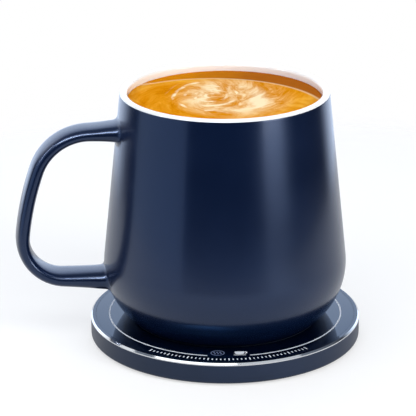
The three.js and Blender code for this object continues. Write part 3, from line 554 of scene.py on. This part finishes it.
# Distances along the outer wall, with even cells round each root of the handle
def wallSteps(runs):
    total = sum(length for length, _ in runs)

    def reach(height):
        tries = [total * i / mug["tries"] for i in range(mug["tries"])]
        return next(s for s in tries if pointAlong(runs, s)[1] >= height)

    def even(start, end, spacing):
        count = max(1, round((end - start) / spacing))
        return [start + (end - start) * i / count for i in range(count)]

    marks, steps, at = [], [], 0.0
    roots = ((lowRoot, strap["lowCell"], mug["footSpacing"]), (topRoot, strap["topCell"], mug["rowSpacing"]))
    for height, cell, spacing in roots:
        low = reach(height) - strap["halfRows"] * cell
        steps += even(at, low, spacing)
        marks.append(len(steps))
        steps += [low + cell * i for i in range(2 * strap["halfRows"])]
        at = reach(height) + strap["halfRows"] * cell
    steps += even(at, total, mug["topSpacing"]) + [total]
    return steps, marks


# The ends of the strap's bends, and the height of each arm at a distance from the axis
topBendZ = strap["topHeight"] - strap["topRadius"]
lowBendX = strap["reach"] - strap["lowRadius"]
lowBendZ = strap["lowHeight"] + strap["lowRadius"]


def topArm(out):
    return strap["topHeight"]


def lowArm(out):
    slope = math.radians(strap["lowSlope"])
    bend = (lowBendX + strap["lowRadius"] * math.sin(slope), lowBendZ - strap["lowRadius"] * math.cos(slope))
    return bend[1] - (bend[0] - out) * math.tan(slope)


topRoot, lowRoot = topArm(mug["rimRadius"]), lowArm(mug["bellyRadius"])


# The strap's middle line as [distance from the axis, height], from the upper root to the lower
def strapRuns(topStart, lowStart):
    dx, dz = lowBendX - strap["topCentre"], lowBendZ - topBendZ
    apart = math.hypot(dx, dz)
    fromTop, fromLow = strap["runRadius"] - strap["topRadius"], strap["runRadius"] - strap["lowRadius"]
    along = (apart ** 2 + fromTop ** 2 - fromLow ** 2) / (2 * apart)
    aside = math.sqrt(fromTop ** 2 - along ** 2)
    runX = strap["topCentre"] + (along * dx + aside * dz) / apart
    runZ = topBendZ + (along * dz - aside * dx) / apart
    leave = math.degrees(math.atan2(topBendZ - runZ, strap["topCentre"] - runX))
    meet = math.degrees(math.atan2(lowBendZ - runZ, lowBendX - runX))
    bends = [
        arcRun(strap["topCentre"], topBendZ, strap["topRadius"], 90, leave),
        arcRun(runX, runZ, strap["runRadius"], leave, meet),
        arcRun(lowBendX, lowBendZ, strap["lowRadius"], meet, strap["lowSlope"] - 90),
    ]
    first, last = pointAlong(bends[:1], 0), pointAlong(bends[2:], bends[2][0])
    top, low = (topStart, topArm(topStart)), (lowStart, lowArm(lowStart))
    return [straightRun(top, first), *bends, straightRun(last, low)]


# Half width and half thickness of the strap at a point of its middle line
def strapHalves(out, height):
    clear = max(out - wallRadius(height), 0)
    end = "low" if height < lowBendZ else "top"

    def flare(name):
        return 1 + strap[name + "Flare"] * max(1 - clear / strap[name + "FlareReach"], 0) ** 2

    return strap["width"] / 2 * flare("side"), strap["thickness"] / 2 * flare(end)


# The corner points of a unit square's edge, pushed onto a rounded square, then stretched
def strapPoint(a, b, halves, grow=0.0):
    n = strap["squareness"]
    size = (abs(a) ** n + abs(b) ** n) ** (-1 / n)
    y, z = a * size * halves[0], b * size * halves[1]
    if grow:
        ny = math.copysign(abs(y / halves[0]) ** (n - 1), y) / halves[0]
        nz = math.copysign(abs(z / halves[1]) ** (n - 1), z) / halves[1]
        length = math.hypot(ny, nz)
        y, z = y + grow * ny / length, z + grow * nz / length
    return y, z


# One root of the handle: rings from the hole in the wall out to the strap
def rootRings(edge, arm, height, side):
    fillet, steps = strap["rootFillet"], strap["rootSteps"]
    rings = [[] for _ in range(steps + 2)]
    away = strapHalves(wallRadius(height) + fillet, height)
    close = strapHalves(wallRadius(height), height)

    def onWall(y, offset):
        at = height + side * offset
        return Vector((-math.sqrt(wallRadius(at) ** 2 - y * y), y, at))

    for a, b, theta, z in edge:
        ay, az = strapPoint(a, b, away)
        corner = onWall(*strapPoint(a, b, close))
        foot = onWall(*strapPoint(a, b, close, fillet))
        out = fillet - onWall(ay, az).x
        start = Vector((-out, ay, arm(out) + side * az))
        footTheta = math.atan2(foot.y, foot.x) % (2 * math.pi)
        halfTheta, halfZ = (footTheta + theta) / 2, (foot.z + z) / 2
        half = wallRadius(halfZ)
        rings[0].append(Vector((half * math.cos(halfTheta), half * math.sin(halfTheta), halfZ)))
        for k in range(steps + 1):
            rings[k + 1].append(arcPoint(foot, corner, start, k / steps))
    return rings


def makeMug():
    columns = mug["columns"]
    footInner = footRadius - mug["footWidth"]
    navy, white, bare = 0, 1, 2
    wall = outerRuns()
    steps, marks = wallSteps(wall)
    # From the recess out over the foot, up the wall, over the lip and down to the cup's floor
    outline = inward(footInner, mug["recess"], bare)[::-1]
    foot = [(footInner * mug["recessRing"], mug["recess"]), (footInner, mug["recess"]), (footInner, 0.0)]
    outline += [(r, z, bare) for r, z in rounded(foot + [(footRadius, 0.0)], mug["footBevel"])[:-1]]
    first = len(outline)
    for s in steps:
        r, z = pointAlong(wall, s)
        outline.append((r, z, bare if z < mug["bareHeight"] else navy))
    lipX = mug["rimRadius"] - lipRadius
    glazeAngle = math.degrees(math.asin((mug["glazeLine"] - lipBase) / lipRadius))
    bead = pointsAlong([arcRun(lipX, lipBase, lipRadius, 0, glazeAngle)], mug["beadSpacing"])[1:]
    outline += [(r, z, navy) for r, z in bead[:-1]]
    lip = pointsAlong([arcRun(lipX, lipBase, lipRadius, glazeAngle, 180)], mug["lipSpacing"])
    cup = pointsAlong(innerRuns(), mug["cupSpacing"])
    outline += [(r, z, white) for r, z in bead[-1:] + lip[1:] + cup[1:]]
    outline += inward(cupX, mug["recess"] + mug["floor"], white)

    points, rows = ringPoints(outline, columns)
    middle, halfC, halfR = columns // 2, strap["halfColumns"], strap["halfRows"]
    holes = [first + mark for mark in marks]
    acrossHole = range(middle - halfC, middle + halfC)
    openCells = {(hole + r, k) for hole in holes for r in range(2 * halfR) for k in acrossHole}
    faces, finishes = bands(rows, [kind for _, _, kind in outline], openCells)

    # The edge of each hole, read the same way round as the strap's section
    def holeEdge(start, side):
        cells = [(-halfC + c, -halfR) for c in range(2 * halfC)]
        cells += [(halfC, -halfR + r) for r in range(2 * halfR)]
        cells += [(-c, -r) for c, r in cells]
        ids, edge = [], []
        for c, r in cells:
            row = start + halfR + side * r
            ids.append(rows[row][middle + c])
            edge.append((-c / halfC, r / halfR, 2 * math.pi * (middle + c) / columns, outline[row][1]))
        return ids, edge

    lowIds, lowEdge = holeEdge(holes[0], -1)
    topIds, topEdge = holeEdge(holes[1], 1)
    topRings = rootRings(topEdge, topArm, topRoot, 1)
    lowRings = rootRings(lowEdge, lowArm, lowRoot, -1)
    starts = [strap["sweepGap"] - min(p.x for p in rings[-1]) for rings in (topRings, lowRings)]
    runs = strapRuns(*starts)
    total = sum(length for length, _ in runs)
    count = round(total / strap["sweepSpacing"])
    aside = 0.05  # how far to each side of a point the strap's direction is read
    sweep = []
    for i in range(count + 1):
        s = total * i / count
        x, z = pointAlong(runs, s)
        ahead, behind = pointAlong(runs, min(s + aside, total)), pointAlong(runs, max(s - aside, 0))
        way = Vector((ahead[0] - behind[0], ahead[1] - behind[1])).normalized()
        halves = strapHalves(x, z)
        section = [strapPoint(a, b, halves) for a, b, _, _ in topEdge]
        sweep.append([Vector((-(x - way.y * out), y, z + way.x * out)) for y, out in section])
    chain = [topIds]
    for ring in topRings + sweep + lowRings[::-1]:
        chain.append(list(range(len(points), len(points) + len(ring))))
        points += ring
    chain.append(lowIds)
    strapFaces, strapFinishes = bands(chain, [navy] * len(chain))

    turn = Matrix.Rotation(math.radians(mug["turn"]), 4, "Z")
    place = Matrix.Translation((0, 0, mug["standHeight"])) @ turn
    points = [place @ Vector(p) for p in points]
    materials = [finish["navyGlaze"], finish["whiteGlaze"], finish["bareStoneware"]]
    made = newObject(
        "mug_glazed", points, faces + strapFaces, finishes + strapFinishes, materials, mug["sharp"],
    )
    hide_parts("mug_shell")
    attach(made, "mug")


makeMug()
print("mug made")

drink = {
    "level": 90.7, "meniscus": 0.55, "meniscusReach": 2.4, "meniscusPower": 2.2, "meniscusSteps": 8,
    "skin": 0.03, "wallGap": 0.4, "spacing": 1.5, "steps": 160, "sharp": 60.0,
}


def makeCoffee():
    base = mug["standHeight"]
    floorZ = mug["recess"] + mug["floor"] + drink["skin"]
    top = drink["level"] - drink["wallGap"]
    wall = [(r, z) for r, z in pointsAlong(innerRuns(), drink["spacing"])[::-1] if z < top]
    outline = [(0.0, base + floorZ, 0)]
    outline += [(r - drink["skin"], base + max(z, floorZ), 0) for r, z in wall]
    edge, level, count = mug["rimRadius"] - mug["lip"], base + drink["level"], drink["meniscusSteps"]
    for k in range(count + 1):
        rise = drink["meniscus"] * (1 - k / count) ** drink["meniscusPower"]
        outline.append((edge - drink["meniscusReach"] * k / count, level + rise, 0))
    outline += inward(edge, level)
    made = turned("coffee", outline, [finish["crema"]], drink["steps"], sharp=drink["sharp"])
    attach(made, "mug")


makeCoffee()
print("coffee made")


# Plate

plate = {
    "radius": 55.0, "wallInner": 53.0, "ledgeInner": 49.0,
    "foot": 0.75, "footFillet": 1.25, "filletSpacing": 0.25, "ledgeBottom": 6.0, "ledgeTop": 7.5,
    "housingTop": 8.5, "glassTop": 9.5, "bezelFlat": 1.35, "bezelLow": 8.9,
    "glassRadius": 52.97, "glassBottom": 7.75, "glassBevel": 0.09, "edgeSoftness": 0.03,
    "apertureWidth": 9.44, "apertureHeight": 3.66, "apertureZ": 4.13, "cutFrom": 48.0, "cutTo": 57.0,
    "steps": 256,
}


def stadium(width, height, steps=12):
    radius = height / 2
    half = width / 2 - radius
    points = []
    for side, start in ((1, -90), (-1, 90)):
        for k in range(steps + 1):
            angle = math.radians(start + 180 * k / steps)
            points.append((side * half + radius * math.cos(angle), radius * math.sin(angle)))
    return points


def makeHousing():
    p = plate
    corner = (p["radius"] - p["footFillet"], p["foot"] + p["footFillet"])
    fillet = pointsAlong([arcRun(*corner, p["footFillet"], -90, 0)], p["filletSpacing"])
    inner, ledge, low, high = p["wallInner"], p["ledgeInner"], p["ledgeBottom"], p["ledgeTop"]
    top = [(p["radius"], p["housingTop"]), (inner, p["housingTop"]), (inner, high)]
    top += [(ledge, high), (ledge, low), (inner, low)]
    outline = [(r, z, 0) for r, z in [(inner, p["foot"])] + fillet + top]
    wall = turned("housingWall", outline, [finish["satinPaint"]], p["steps"], loop=True)
    hole = stadium(p["apertureWidth"], p["apertureHeight"])
    cutter = raised("socketHole", [hole], p["cutFrom"], p["cutTo"], finish["satinPaint"])
    turn = Matrix(((1, 0, 0, 0), (0, 0, 1, 0), (0, 1, 0, p["apertureZ"] * mm), (0, 0, 0, 1)))
    cutter.data.transform(turn)
    cutter.data.flip_normals()
    cut = wall.modifiers.new("socket", "BOOLEAN")
    cut.operation = "DIFFERENCE"
    cut.solver = "EXACT"
    cut.object = cutter
    made = settled(wall, "plate_wall")
    bpy.data.objects.remove(cutter)
    made.data.set_sharp_from_angle(angle=math.radians(sharpAngle))
    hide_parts("housing_ring")
    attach(made, "plate")


def makeBezel():
    p = plate
    polished, dark = 0, 1
    inner, top = p["wallInner"], p["glassTop"]
    outline = [
        (inner, p["housingTop"], dark), (p["radius"], p["housingTop"], polished),
        (p["radius"], p["bezelLow"], polished), (inner + p["bezelFlat"], top, dark), (inner, top, dark),
    ]
    materials = [finish["bezel"], finish["blackEnamel"]]
    made = turned("plate_bezel", outline, materials, p["steps"], loop=True)
    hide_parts("bezel_ring")
    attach(made, "plate")


def makeGlass():
    p = plate
    edge, low, top, bevel = p["glassRadius"], p["glassBottom"], p["glassTop"], p["glassBevel"]
    corners = [(0.0, low), (edge, low), (edge, top - bevel), (edge - bevel, top), (0.0, top)]
    outline = [(r, z, 0) for r, z in rounded(corners, p["edgeSoftness"])[:-1]]
    outline += inward(edge, top)
    made = turned("plate_glass", outline, [finish["blackGlass"]], p["steps"])
    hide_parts("glass_top")
    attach(made, "plate")


makeHousing()
makeBezel()
makeGlass()
print("plate made")


# Print on the glass

circle = {"radius": 47.4, "line": 0.6, "gap": 10.2, "thickness": 0.03, "steps": 300}
ticks = {
    "count": 41, "longEvery": 5, "spread": 74.0,
    "sizes": {"Radius": 50.6, "Width": 0.5, "Length": 1.2, "Long Length": 2.0, "Thickness": 0.03},
}


def makeCircle():
    steps, gap = circle["steps"], circle["gap"]
    points, rows = [], []
    for i in range(steps + 1):
        angle = math.radians(gap + (360 - 2 * gap) * i / steps - 90)
        rows.append(list(range(4 * i, 4 * i + 4)))
        for side, rise in ((-1, 0), (-1, 1), (1, 1), (1, 0)):
            radius = circle["radius"] + side * circle["line"] / 2
            height = plate["glassTop"] + rise * circle["thickness"]
            points.append((radius * math.cos(angle), radius * math.sin(angle), height))
    faces, _ = bands(rows, [0] * steps)
    return newObject("print_circle", points, [rows[0], *faces, rows[-1]], None, [finish["whiteInk"]])


# Geometry Nodes: ticks on an arc, every few of them long
def tickTree():
    tree = bpy.data.node_groups.new("ticksOnArc", "GeometryNodeTree")
    tree.is_modifier = True
    kinds = {"Count": "Int", "Long Every": "Int", "Material": "Material"}
    sizes = ("Radius", "Spread", "Width", "Length", "Long Length", "Thickness", "Height")
    for name in (*sizes, *kinds):
        tree.interface.new_socket(name, in_out="INPUT", socket_type="NodeSocket" + kinds.get(name, "Float"))
    tree.interface.new_socket("Geometry", in_out="OUTPUT", socket_type="NodeSocketGeometry")
    add = partial(addNode, tree)
    given = add("NodeGroupInput").outputs
    points = add("GeometryNodePoints", links={"Count": given["Count"]})
    index = add("GeometryNodeInputIndex")
    last = add("Math", minus, {1: 1.0}, {0: given["Count"]})
    share = add("Math", {"operation": "DIVIDE"}, links={0: index, 1: last})
    centred = add("Math", minus, {1: 0.5}, {0: share})
    angle = add("Math", times, links={0: centred, 1: given["Spread"]})
    turn = add("CombineXYZ", links={"Z": angle})
    back = add("Math", times, {1: -1.0}, {0: given["Radius"]})
    front = add("CombineXYZ", links={"Y": back, "Z": given["Height"]})
    spun = add("VectorRotate", aboutZ, links={"Vector": front, "Angle": angle})
    placed = add("GeometryNodeSetPosition", links={"Geometry": points, "Position": spun})
    rest = add("Math", {"operation": "MODULO"}, links={0: index, 1: given["Long Every"]})
    isLong = add("FunctionNodeCompare", {"operation": "LESS_THAN"}, {1: 0.5}, {0: rest})
    length = add(
        "GeometryNodeSwitch", {"input_type": "FLOAT"},
        links={"Switch": isLong, "False": given["Length"], "True": given["Long Length"]},
    )
    size = add("CombineXYZ", links={"X": given["Width"], "Y": length, "Z": given["Thickness"]})
    block = add("GeometryNodeMeshCube", values={"Size": (1.0, 1.0, 1.0)})
    copies = add(
        "GeometryNodeInstanceOnPoints",
        links={"Points": placed, "Instance": block, "Rotation": turn, "Scale": size},
    )
    real = add("GeometryNodeRealizeInstances", links={"Geometry": copies})
    inked = add("GeometryNodeSetMaterial", links={"Geometry": real, "Material": given["Material"]})
    add("NodeGroupOutput", links={"Geometry": inked})
    return tree


# A Geometry Nodes tree run on an empty mesh and turned into a plain one
def grown(name, tree, inputs):
    holder = linked(name + "Source", bpy.data.meshes.new(name + "Source"))
    modifier = holder.modifiers.new("grow", "NODES")
    modifier.node_group = tree
    for item in tree.interface.items_tree:
        if item.in_out == "INPUT":
            modifier[item.identifier] = inputs[item.name]
    return settled(holder, name)


def makeTicks():
    sizes = dict(ticks["sizes"], Height=plate["glassTop"] + ticks["sizes"]["Thickness"] / 2)
    return grown("print_ticks", tickTree(), {
        "Count": ticks["count"], "Long Every": ticks["longEvery"], "Spread": math.radians(ticks["spread"]),
        "Material": finish["whiteInk"], **{name: size * mm for name, size in sizes.items()},
    })


symbols = {
    "radius": 44.2, "apart": 4.3, "line": 0.45, "thickness": 0.03,
    "ovalWidth": 5.2, "ovalHeight": 4.6,
    "waveGap": 1.2, "waveHeight": 2.4, "waveSwing": 0.28, "waveSteps": 10,
    "bowlWidth": 3.8, "bowlTop": 1.3, "bowlTurn": -0.2, "bowlDepth": 1.3, "roundSteps": 12,
    "loopWidth": 1.9, "loopHeight": 1.7, "loopY": 0.2, "loopEnd": 80, "saucerWidth": 4.8, "saucerY": -2.1,
}


# A line of even width through flat points, as closed outlines
def stroke(points, width, loop=False):
    left, right = [], []
    count = len(points)
    for i, point in enumerate(points):
        before = points[i - 1] if loop or i else points[0]
        after = points[(i + 1) % count] if loop or i + 1 < count else points[-1]
        way = Vector((after[0] - before[0], after[1] - before[1])).normalized() * width / 2
        left.append((point[0] - way.y, point[1] + way.x))
        right.append((point[0] + way.y, point[1] - way.x))
    if loop:
        half = count // 2
        first = right[:half + 1] + left[:half + 1][::-1]
        second = right[half:] + [right[0]] + [left[0]] + left[half:][::-1]
        return [first, second]
    return [right + left[::-1]]


# Points of an ellipse, or of an arc of it from start to end degrees
def ellipse(x, y, width, height, steps=24, start=0, end=360):
    count = steps if end - start == 360 else steps + 1
    angles = [math.radians(start + (end - start) * k / steps) for k in range(count)]
    return [(x + width / 2 * math.cos(angle), y + height / 2 * math.sin(angle)) for angle in angles]


# Heat: three waves in an oval
def heatSymbol(x, y):
    s = symbols
    heat = stroke(ellipse(x, y, s["ovalWidth"], s["ovalHeight"]), s["line"], loop=True)
    for side in (-1, 0, 1):
        wave = []
        for k in range(s["waveSteps"] + 1):
            t = k / s["waveSteps"]
            swing = s["waveSwing"] * math.sin(2 * math.pi * t)
            wave.append((x + side * s["waveGap"] + swing, y + s["waveHeight"] * (t - 0.5)))
        heat += stroke(wave, s["line"])
    return heat


# Cup: a filled bowl with a handle, on a saucer
def cupSymbol(x, y):
    s = symbols
    half, turnY, steps = s["bowlWidth"] / 2, y + s["bowlTurn"], s["roundSteps"]
    bowl = ellipse(x, turnY, s["bowlWidth"], 2 * s["bowlDepth"], steps, 180, 360)
    bowl = [(x - half, y + s["bowlTop"])] + bowl + [(x + half, y + s["bowlTop"])]
    end = s["loopEnd"]
    loop = ellipse(x + half, y + s["loopY"], s["loopWidth"], s["loopHeight"], steps, -end, end)
    saucer = [(x + s["saucerWidth"] * share, y + s["saucerY"]) for share in (-0.5, 0.0, 0.5)]
    return [bowl] + stroke(loop, s["line"]) + stroke(saucer, s["line"])


def makeSymbols():
    low, high = plate["glassTop"], plate["glassTop"] + symbols["thickness"]
    x, y = symbols["apart"], -symbols["radius"]
    # The heat symbol is the grey print with its light off; the cup symbol's white also stands in for the
    # glow of its lit status light: painted light.
    heat = raised("symbol_heat", heatSymbol(-x, y), low, high, finish["greyInk"])
    cup = raised("symbol_cup", cupSymbol(x, y), low, high, finish["whiteInk"])
    return heat, cup


for piece in (makeCircle(), makeTicks(), *makeSymbols()):
    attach(piece, "plate")
    piece.visible_glossy = False  # the satin glaze above it does not mirror the print
print("print made")


# Pieces that keep their own shape

carried = {
    "glass_gasket": "silicone", "insulation_sheet": "mica", "base_cover": "mattAbs",
    "anti_slip_pad": "silicone", "induction_coil": "copper", "ferrite_ring": "ferrite",
    "coil_carrier": "mattAbs", "thermistor": "epoxy", "thermistor_pad": "silicone",
    "main_board": "board", "power_inductor": "epoxy", "controller_chip": "epoxy",
    "status_light_left": "lamp", "status_light_right": "lamp", "light_guide": "guide",
    "inlet_shell": "steel", "inlet_contact_block": "mattAbs",
    "heating_disc": "steel", "thermal_bond": "silicone", "base_seal": "silicone",
}
repeated = {"_screw_": "steel", "capacitor_": "capacitor", "transistor_": "epoxy", "coil_pad_": "solder"}
for part, kind in repeated.items():
    carried.update({name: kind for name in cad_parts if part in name})
for name, kind in carried.items():
    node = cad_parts[name]
    if not node.material_slots:
        node.data.materials.append(finish[kind])
    node.material_slots[0].material = finish[kind]
print("carried pieces finished:", len(carried))


# Studio

studio = {
    "floorRadius": 0.33, "floorFade": 0.08, "floorTone": "#B0B0B0", "floorLift": 0.58, "floorSheen": 0.6,
    "floorSteps": 96, "backTone": "#D9E8FF", "backStrength": 1.85, "backLow": 0.46, "backHigh": 0.8,
    "frontStrength": 0.02, "topStrength": 0.22, "topLow": 0.3, "topHigh": 0.8, "aim": (0.0, 0.0, 0.05),
}
# Each lamp is a soft box: where it stands, how large it is and how bright its face is.
# Some are tinted or laid along a line, and some only light the surfaces or only show in their gloss.
softBoxes = {
    "topBox": ((-0.35, 0.2, 1.05), (2.0, 0.9), 0.74, {"diffuseOnly": True}),
    "topSheen": ((-0.35, 0.2, 1.05), (2.0, 0.9), 0.6, {"glossOnly": True}),
    "bezelStrip": ((-0.34, -0.33, 1.1), (1.0, 0.3), 1.7, {"along": (0.94, -0.33, 0.0), "glossOnly": True}),
    "bezelSheen": ((0.52, -0.31, 1.1), (0.8, 0.25), 0.45, {"along": (0.91, 0.41, 0.0), "glossOnly": True}),
    "armStrip": ((-0.3, -0.62, 0.98), (1.0, 0.12), 32.0, {"along": (0.94, -0.33, 0.0), "glossOnly": True}),
    "sideStrip": (
        (-0.943, -0.185, 0.632), (0.5, 0.08), 18.0, {"along": (-0.28, -0.3, -0.75), "glossOnly": True},
    ),
    "frontBox": ((0.0, -0.75, 0.95), (1.2, 0.5), 3.15, {}),
    "leftBox": ((-0.99, -0.31, 0.2), (1.32, 0.9), 0.85, {"tint": "#CBE1FF"}),
    "backLeftBox": ((-0.75, 0.45, 0.55), (0.62, 0.5), 0.8, {}),
    "rightBox": ((0.72, -0.62, 0.157), (0.4, 0.31), 6.6, {"glossOnly": True}),
    "rightSheen": ((0.96, 0.12, 0.157), (0.5, 0.31), 0.22, {"glossOnly": True}),
    "rightFill": ((0.72, -0.62, 0.4), (0.4, 0.9), 5.7, {"diffuseOnly": True}),
    "leftFill": ((-0.75, -0.45, 0.6), (0.6, 0.5), 1.8, {"diffuseOnly": True}),
}


# Pale paper that fades out at its edge, lifted to white for the camera and part of that for gloss
def makeFloor():
    s = studio
    material, tree, add, place = newMaterial("paleFloor")
    tree.nodes.remove(tree.nodes["Principled BSDF"])
    paper = add("BsdfDiffuse", values={"Color": linear(s["floorTone"])})
    ray = add("LightPath").outputs
    sheen = add("Math", times, {1: s["floorSheen"]}, {0: ray["Is Glossy Ray"]})
    some = add("Math", larger, links={0: ray["Is Camera Ray"], 1: sheen})
    seen = add("Math", larger, links={0: some, 1: ray["Is Transmission Ray"]})
    lift = add("Math", times, {1: s["floorLift"]}, {0: seen})
    glow = add("Emission", links={"Strength": lift})
    lit = add("AddShader", links={0: paper, 1: glow})
    reach = add("VectorMath", lengthOf, links={0: place})
    start, end = s["floorRadius"] - s["floorFade"], s["floorRadius"]
    gone = add("MapRange", smooth, {"From Min": start, "From Max": end}, {"Value": reach})
    mix = add("MixShader", links={0: gone, 1: lit, 2: add("BsdfTransparent")})
    tree.links.new(mix.outputs[0], tree.nodes["Material Output"].inputs["Surface"])
    mesh = bpy.data.meshes.new("floor")
    edge, _ = ringPoints([(end, 0.0, 0)], s["floorSteps"])
    mesh.from_pydata(edge, [], [list(range(len(edge)))])
    mesh.materials.append(material)
    linked("floor", mesh)


def makeSoftBoxes():
    for name, (place, size, glow, more) in softBoxes.items():
        data = bpy.data.lights.new(name, "AREA")
        data.shape = "RECTANGLE"
        data.size, data.size_y = size
        data.energy = math.pi * data.size * data.size_y * glow
        data.color = linear(more.get("tint", "#FFFFFF"))[:3]
        lamp = linked(name, data)
        lamp.location = place
        back = (lamp.location - Vector(studio["aim"])).normalized()
        along = Vector(more.get("along", (-back.y, back.x, 0.0)))
        along = (along - back * along.dot(back)).normalized()
        lamp.rotation_euler = Matrix((along, back.cross(along), back)).transposed().to_euler()
        lamp.visible_camera = False
        lamp.visible_diffuse = not more.get("glossOnly")
        lamp.visible_glossy = not more.get("diffuseOnly")


# White behind the object, a dim front, and plain white to the camera
def makeWorld():
    s = studio
    world = bpy.data.worlds.new("studio")
    bpy.context.scene.world = world
    world.use_nodes = True
    tree = world.node_tree
    tree.nodes.clear()
    add = partial(addNode, tree)
    way = add("TexCoord").outputs["Generated"]
    parts = add("SeparateXYZ", links={0: way})
    back = add(
        "MapRange", smooth,
        {
            "From Min": s["backLow"], "From Max": s["backHigh"],
            "To Min": s["frontStrength"], "To Max": s["backStrength"],
        },
        {"Value": parts.outputs["Y"]},
    )
    top = add(
        "MapRange", smooth, {"From Min": s["topLow"], "From Max": s["topHigh"], "To Max": s["topStrength"]},
        {"Value": parts.outputs["Z"]},
    )
    both = add("Math", larger, links={0: back, 1: top})
    room = add("Background", None, {"Color": linear(s["backTone"])}, {"Strength": both})
    white = add("Background", values={"Color": linear("#FFFFFF")})
    ray = add("LightPath").outputs["Is Camera Ray"]
    mix = add("MixShader", links={0: ray, 1: room, 2: white})
    add("OutputWorld", links={"Surface": mix})


makeFloor()
makeSoftBoxes()
makeWorld()
bpy.context.scene.view_settings.view_transform = "Standard"
print("studio made")
